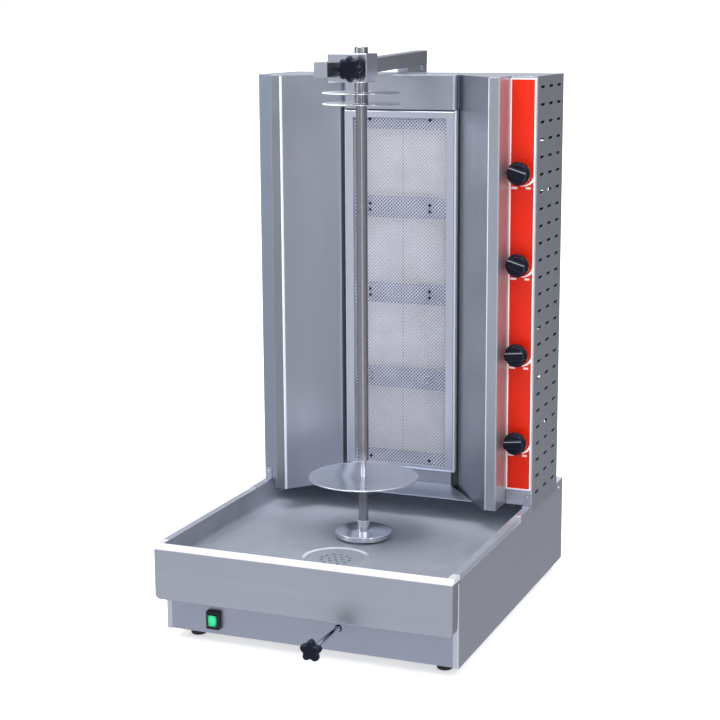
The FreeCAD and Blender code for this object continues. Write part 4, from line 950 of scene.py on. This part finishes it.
class GRILL_OT_control_knobs(bpy.types.Operator):
    """Moulds the four gas knobs, each with a neck, a skirt, a cap and a grip bar"""

    bl_idname = "grill.control_knobs"
    bl_label = "Control knobs"

    def execute(self, context):
        sizes = context.scene.grill_knobs
        for number in range(1, 5):
            tilt = sizes.upper_tilt if number > 2 else sizes.lower_tilt
            self.knob("control_knob_%d" % number, "knob_%d" % number, tilt)
        return {"FINISHED"}

    def knob(self, node, body, tilt):
        lowest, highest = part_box(node)
        centre = (lowest + highest) / 2
        radius = (highest.x - lowest.x) / 2
        depth = highest.y - lowest.y
        neck = 20 * MM
        neck_r = 10 * MM
        cap = neck + 14 * MM
        shaft_r = 3.5 * MM
        shaft_end = 12 * MM
        base = Vector((centre.x, highest.y, centre.z))
        bm = bmesh.new()
        profile = [(0, shaft_end), (shaft_r, shaft_end), (shaft_r, 0), (neck_r - 1 * MM, 0), (neck_r, 1 * MM),
                   (neck_r, neck - 0.5 * MM), (radius - 1 * MM, neck), (radius, neck + 1 * MM),
                   (radius, neck + 6 * MM), (radius - 1.0 * MM, neck + 7 * MM),
                   (radius - 2.4 * MM, neck + 7.2 * MM), (radius - 4.2 * MM, cap - 0.8 * MM),
                   (radius - 5.4 * MM, cap), (0, cap)]
        turned(bm, softened(profile, 0.6 * MM), base, 72, "Y")
        half_bar = 8.0 * MM
        reach = radius - 3.5 * MM
        sections = 19
        rows = []
        for i in range(sections):
            along = -reach * math.cos(math.pi * i / (sections - 1))
            inside = math.sqrt(max(0.0, 1 - (along / (reach + 0.4 * MM)) ** 2))
            half = half_bar * min(1.0, 0.25 + 1.5 * inside)
            top = depth - 1.6 * MM * (1 - inside) ** 1.5
            side = [(half, cap - 1 * MM), (half * 0.9, top - 1.6 * MM), (half * 0.74, top - 0.4 * MM),
                    (half * 0.5, top)]
            ring = [(-across, forward) for across, forward in side] + side[::-1]
            rows.append([bm.verts.new(on_knob(base, tilt, along, *point)) for point in ring])
        skin(bm, rows, closed=True)
        new_piece(node + "_moulded", bm, body, "phenolic", [node], 35)
        # A pale strip on the bar's upper edge stands for its painted highlight.
        self.pointer(node, body, base, tilt, half_bar, reach * 0.93, depth)

    def pointer(self, node, body, base, tilt, half, reach, depth):
        """A pale strip let into the upper edge of the grip bar: a painted highlight."""
        section = [(half * 0.92, depth - 1.5 * MM), (half * 0.76, depth - 0.25 * MM),
                   (half * 0.70, depth - 0.9 * MM), (half * 0.84, depth - 2.0 * MM)]
        bm = bmesh.new()
        ends = [[bm.verts.new(on_knob(base, tilt, along, *point)) for point in section]
                for along in (-reach, reach)]
        skin(bm, ends, closed=True)
        new_piece(node + "_pointer", bm, body, "pointer", (), 0)


class GRILL_OT_switch(bpy.types.Operator):
    """Moulds the switch's frame, which stands proud of the front panel round the lit rocker"""

    bl_idname = "grill.switch"
    bl_label = "Switch frame"

    def execute(self, context):
        lowest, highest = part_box("switch_body")
        rocker = (high("switch_rocker") - low("switch_rocker")) / 2
        panel = low("base_front_panel").y
        centre = (lowest + highest) / 2
        half = Vector((centre.x - lowest.x, centre.z - lowest.z))
        well = Vector((rocker.x + 0.3 * MM, rocker.z + 0.6 * MM))
        front = lowest.y

        def grown(size, by):
            return size + Vector((by, by)) * MM

        levels = [(grown(half, -2.7), 0.5 * MM, highest.y), (grown(half, -2.7), 0.5 * MM, panel + 0.4 * MM),
                  (half, 2.5 * MM, panel), (half, 2.5 * MM, front + 1.6 * MM),
                  (grown(half, -0.5), 2.3 * MM, front + 0.5 * MM), (grown(half, -1.6), 1.8 * MM, front),
                  (grown(well, 0.8), 1.0 * MM, front), (well, 0.6 * MM, front + 0.8 * MM),
                  (well, 0.6 * MM, front + 14 * MM)]
        bm = bmesh.new()
        skin(bm, [self.outline(bm, centre, *level) for level in levels], closed=True)
        new_piece("switch_frame", bm, "housing", "switch_plastic", ["switch_body"])
        return {"FINISHED"}

    def outline(self, bm, centre, half, corner, level, steps=5):
        """A rounded oblong, as a ring of vertices in the plane at that level."""
        ring = []
        for quarter, (sx, sz) in enumerate(((1, 1), (-1, 1), (-1, -1), (1, -1))):
            for i in range(steps + 1):
                angle = math.pi / 2 * (quarter + i / steps)
                x = centre.x + sx * (half.x - corner) + corner * math.cos(angle)
                z = centre.z + sz * (half.y - corner) + corner * math.sin(angle)
                ring.append(bm.verts.new((x, level, z)))
        return ring


class GRILL_OT_feet(bpy.types.Operator):
    """Turns the rubber feet, each with a rounded tread and a pocket underneath for its screw"""

    bl_idname = "grill.feet"
    bl_label = "Feet"

    def execute(self, context):
        bm = bmesh.new()
        for lowest, highest in islands("feet"):
            centre = (lowest + highest) / 2
            radius = (highest.x - lowest.x) / 2
            rise = highest.z - lowest.z
            profile = [(0, 3 * MM), (4.5 * MM, 3 * MM), (5 * MM, 0), (radius - 2.6 * MM, 0),
                       (radius - 1.5 * MM, 1.2 * MM), (radius - 0.4 * MM, rise - 4 * MM),
                       (radius, rise - 3 * MM), (radius, rise), (0, rise)]
            turned(bm, softened(profile, 0.8 * MM), Vector((centre.x, centre.y, lowest.z)), 48)
        new_piece("feet_moulded", bm, "housing", "rubber", ["feet"])
        return {"FINISHED"}


class GRILL_OT_stage(bpy.types.Operator):
    """Lays the floor, hangs the lights and sets the camera where the photograph was taken"""

    bl_idname = "grill.stage"
    bl_label = "Stage"

    def execute(self, context):
        scene = context.scene
        sizes = scene.grill_stage
        self.floor(scene)
        self.room(scene, sizes)
        self.lamp(scene, "top_light", (-0.3, -0.9, 2.9), (0, 0, 0.4), 1.6, 1.0, 36)
        self.lamp(scene, "left_light", (-2.6, -1.9, 1.5), (0, 0, 0.5), 1.0, 1.8, 16)
        self.lamp(scene, "right_light", (2.4, -1.6, 1.9), (0, 0, 0.5), 0.6, 1.6, 14)
        self.camera(scene, sizes)
        scene.view_settings.view_transform = "Standard"
        return {"FINISHED"}

    def floor(self, scene):
        mesh = bpy.data.meshes.new("floor")
        reach = 60.0
        mesh.from_pydata([(-reach, -reach, 0), (reach, -reach, 0), (reach, reach, 0), (-reach, reach, 0)], [],
                         [(0, 1, 2, 3)])
        ground = bpy.data.objects.new("floor", mesh)
        scene.collection.objects.link(ground)
        pale = Finish("floor").done(Base_Color=(0.88, 0.88, 0.88), Roughness=0.7,
                                    Emission_Color=(1, 1, 1), Emission_Strength=0.5)
        mesh.materials.append(pale)
        ground.visible_glossy = False

    def room(self, scene, sizes):
        """A white backdrop; the light that the steel mirrors is paler at the left and front than behind.

        Two lights stand out: a patch low behind at the left, for the folds that face it, and a tall softbox
        in front, for the stripe on the round pieces.
        """
        world = bpy.data.worlds.new("studio")
        scene.world = world
        world.use_nodes = True
        studio = Nodes(world.node_tree)
        x, y, z = studio.axes(studio.out("TexCoord", output="Generated"))
        front, left, down = y * -1.0, x * -1.0, z * -1.0
        broad = 0.22 + front.ramp(-0.9, 0.7) * 0.34 + left.ramp(-0.9, 0.9) * 0.03 + z.ramp(-0.15, 0.9) * 0.26
        overhead = z.ramp(0.45, 0.9) * 1.3 + down.ramp(0.02, 0.5) * 0.14
        behind = left.ramp(0.05, 0.25) * y.ramp(0.75, 0.92) * (1 - z.ramp(0.08, 0.2))
        softbox = (1 - (x - 0.35).absolute().ramp(0.05, 0.12)) * front.above(0.5) * (1 - z.ramp(0.6, 0.75))
        light = broad + overhead + behind * 0.8 + softbox * 1.6
        cool = studio.mix(light * sizes.world_light * 0.25, (0, 0, 0), (3.92, 4.0, 4.2))
        seen = studio.out("LightPath", output="Is Camera Ray")
        studio.feed(world.node_tree.nodes["Background"].inputs[0], studio.mix(seen, cool, (1, 1, 1)))

    def lamp(self, scene, name, place, target, width, height, power):
        light = bpy.data.lights.new(name, "AREA")
        light.shape = "RECTANGLE"
        light.size = width
        light.size_y = height
        light.energy = power
        lamp = bpy.data.objects.new(name, light)
        lamp.location = place
        lamp.rotation_mode = "QUATERNION"
        lamp.rotation_quaternion = (Vector(target) - Vector(place)).to_track_quat("-Z", "Y")
        scene.collection.objects.link(lamp)

    def camera(self, scene, sizes):
        data = bpy.data.cameras.new("camera")
        data.sensor_width = 36.0
        data.lens = sizes.lens
        camera = bpy.data.objects.new("camera", data)
        turn = Matrix.Rotation(sizes.camera_azimuth, 4, "Z")
        tilt = Matrix.Rotation(math.pi / 2 - sizes.camera_elevation, 4, "X")
        lean = Matrix.Rotation(sizes.camera_roll, 4, "Z")
        camera.matrix_world = Matrix.Translation(sizes.camera_place) @ turn @ tilt @ lean
        scene.collection.objects.link(camera)
        scene.camera = camera


def length(name, description, default):
    return FloatProperty(name=name, description=description, default=default, unit="LENGTH", precision=5)


def angle(name, description, degrees):
    return FloatProperty(name=name, description=description, default=math.radians(degrees), subtype="ANGLE")


def colour(name, description, *default):
    return FloatVectorProperty(name=name, description=description, default=default, subtype="COLOR", min=0.0,
                               soft_max=1.0)


class GrillColours(bpy.types.PropertyGroup):
    """The grill's main colours."""

    sheet_tint: colour("Sheet tint", "Tint of all brushed sheets over their own tones", 1.0, 1.0, 1.0)
    guard: colour("Guard", "Wires of the burner guard", 0.76, 0.78, 0.86)
    grips: colour("Grips", "Moulded knobs and star grips", 0.004, 0.0045, 0.0085)
    # The pale strip on each grip bar is a painted highlight.
    highlight_strips: colour("Pointers", "Line on each gas knob", 0.20, 0.205, 0.25)
    label: colour("Label", "Field of the label strip", 0.66, 0.016, 0.001)
    label_faded: colour("Faded label", "Field where it has faded", 0.60, 0.013, 0.001)
    label_print: colour("Label print", "Border, arcs and marks", 0.86, 0.82, 0.82)
    lamp: colour("Lamp", "Light of the switch's rocker", 0.02, 0.55, 0.22)


class GrillGuard(bpy.types.PropertyGroup):
    """Sizes of the burner guard."""

    pitch: length("Wire pitch", "Distance between wires", 4.7 * MM)
    wire: length("Wire", "Thickness of the rising wires", 1.5 * MM)
    cross_wire: length("Cross wire", "Thickness of the falling wires", 1.0 * MM)
    strip_grow: length("Strip fold", "How far each fold of a cross strip reaches past it", 2.0 * MM)
    screw_head: length("Screw head", "Width of a screw's head", 6.0 * MM)


class GrillKnobs(bpy.types.PropertyGroup):
    """How far the gas knobs are turned."""

    upper_tilt: angle("Upper knobs", "Tilt of the two upper grip bars", 17)
    lower_tilt: angle("Lower knobs", "Tilt of the two lower grip bars", -6)


class GrillStage(bpy.types.PropertyGroup):
    """The camera and the lights."""

    lens: FloatProperty(name="Lens", description="Focal length", default=84.54, unit="CAMERA")
    camera_place: FloatVectorProperty(name="Camera", description="Where the camera stands", subtype="XYZ",
                                      unit="LENGTH", default=(1.11976, -2.79567, 1.08387))
    camera_azimuth: angle("Azimuth", "Turn round the grill", 22.015)
    camera_elevation: angle("Elevation", "Tilt down", 11.447)
    camera_roll: angle("Roll", "Lean of the camera", -0.315)
    world_light: FloatProperty(name="Room light", description="Light from the whole room", default=1.0)


class GRILL_PT_panel(bpy.types.Panel):
    """Lists the pieces of the grill"""

    bl_label = "Kebab grill"
    bl_idname = "GRILL_PT_panel"
    bl_space_type = "VIEW_3D"
    bl_region_type = "UI"
    bl_category = "Grill"

    def draw(self, context):
        for step in STEPS:
            self.layout.operator(step.bl_idname)


STEPS = [GRILL_OT_finishes, GRILL_OT_guard, GRILL_OT_screws, GRILL_OT_spit, GRILL_OT_star_grips,
         GRILL_OT_control_knobs, GRILL_OT_switch, GRILL_OT_feet, GRILL_OT_stage]
GROUPS = {"grill_colours": GrillColours, "grill_guard": GrillGuard, "grill_knobs": GrillKnobs,
          "grill_stage": GrillStage}
CLASSES = list(GROUPS.values()) + [GRILL_PT_panel] + STEPS


def register():
    for cls in CLASSES:
        bpy.utils.register_class(cls)
    for name, group in GROUPS.items():
        setattr(bpy.types.Scene, name, PointerProperty(type=group))


def unregister():
    for name in GROUPS:
        delattr(bpy.types.Scene, name)
    for cls in reversed(CLASSES):
        bpy.utils.unregister_class(cls)


def main():
    register()
    for step in STEPS:
        group, name = step.bl_idname.split(".")
        getattr(getattr(bpy.ops, group), name)()


if __name__ == "__main__":
    main()
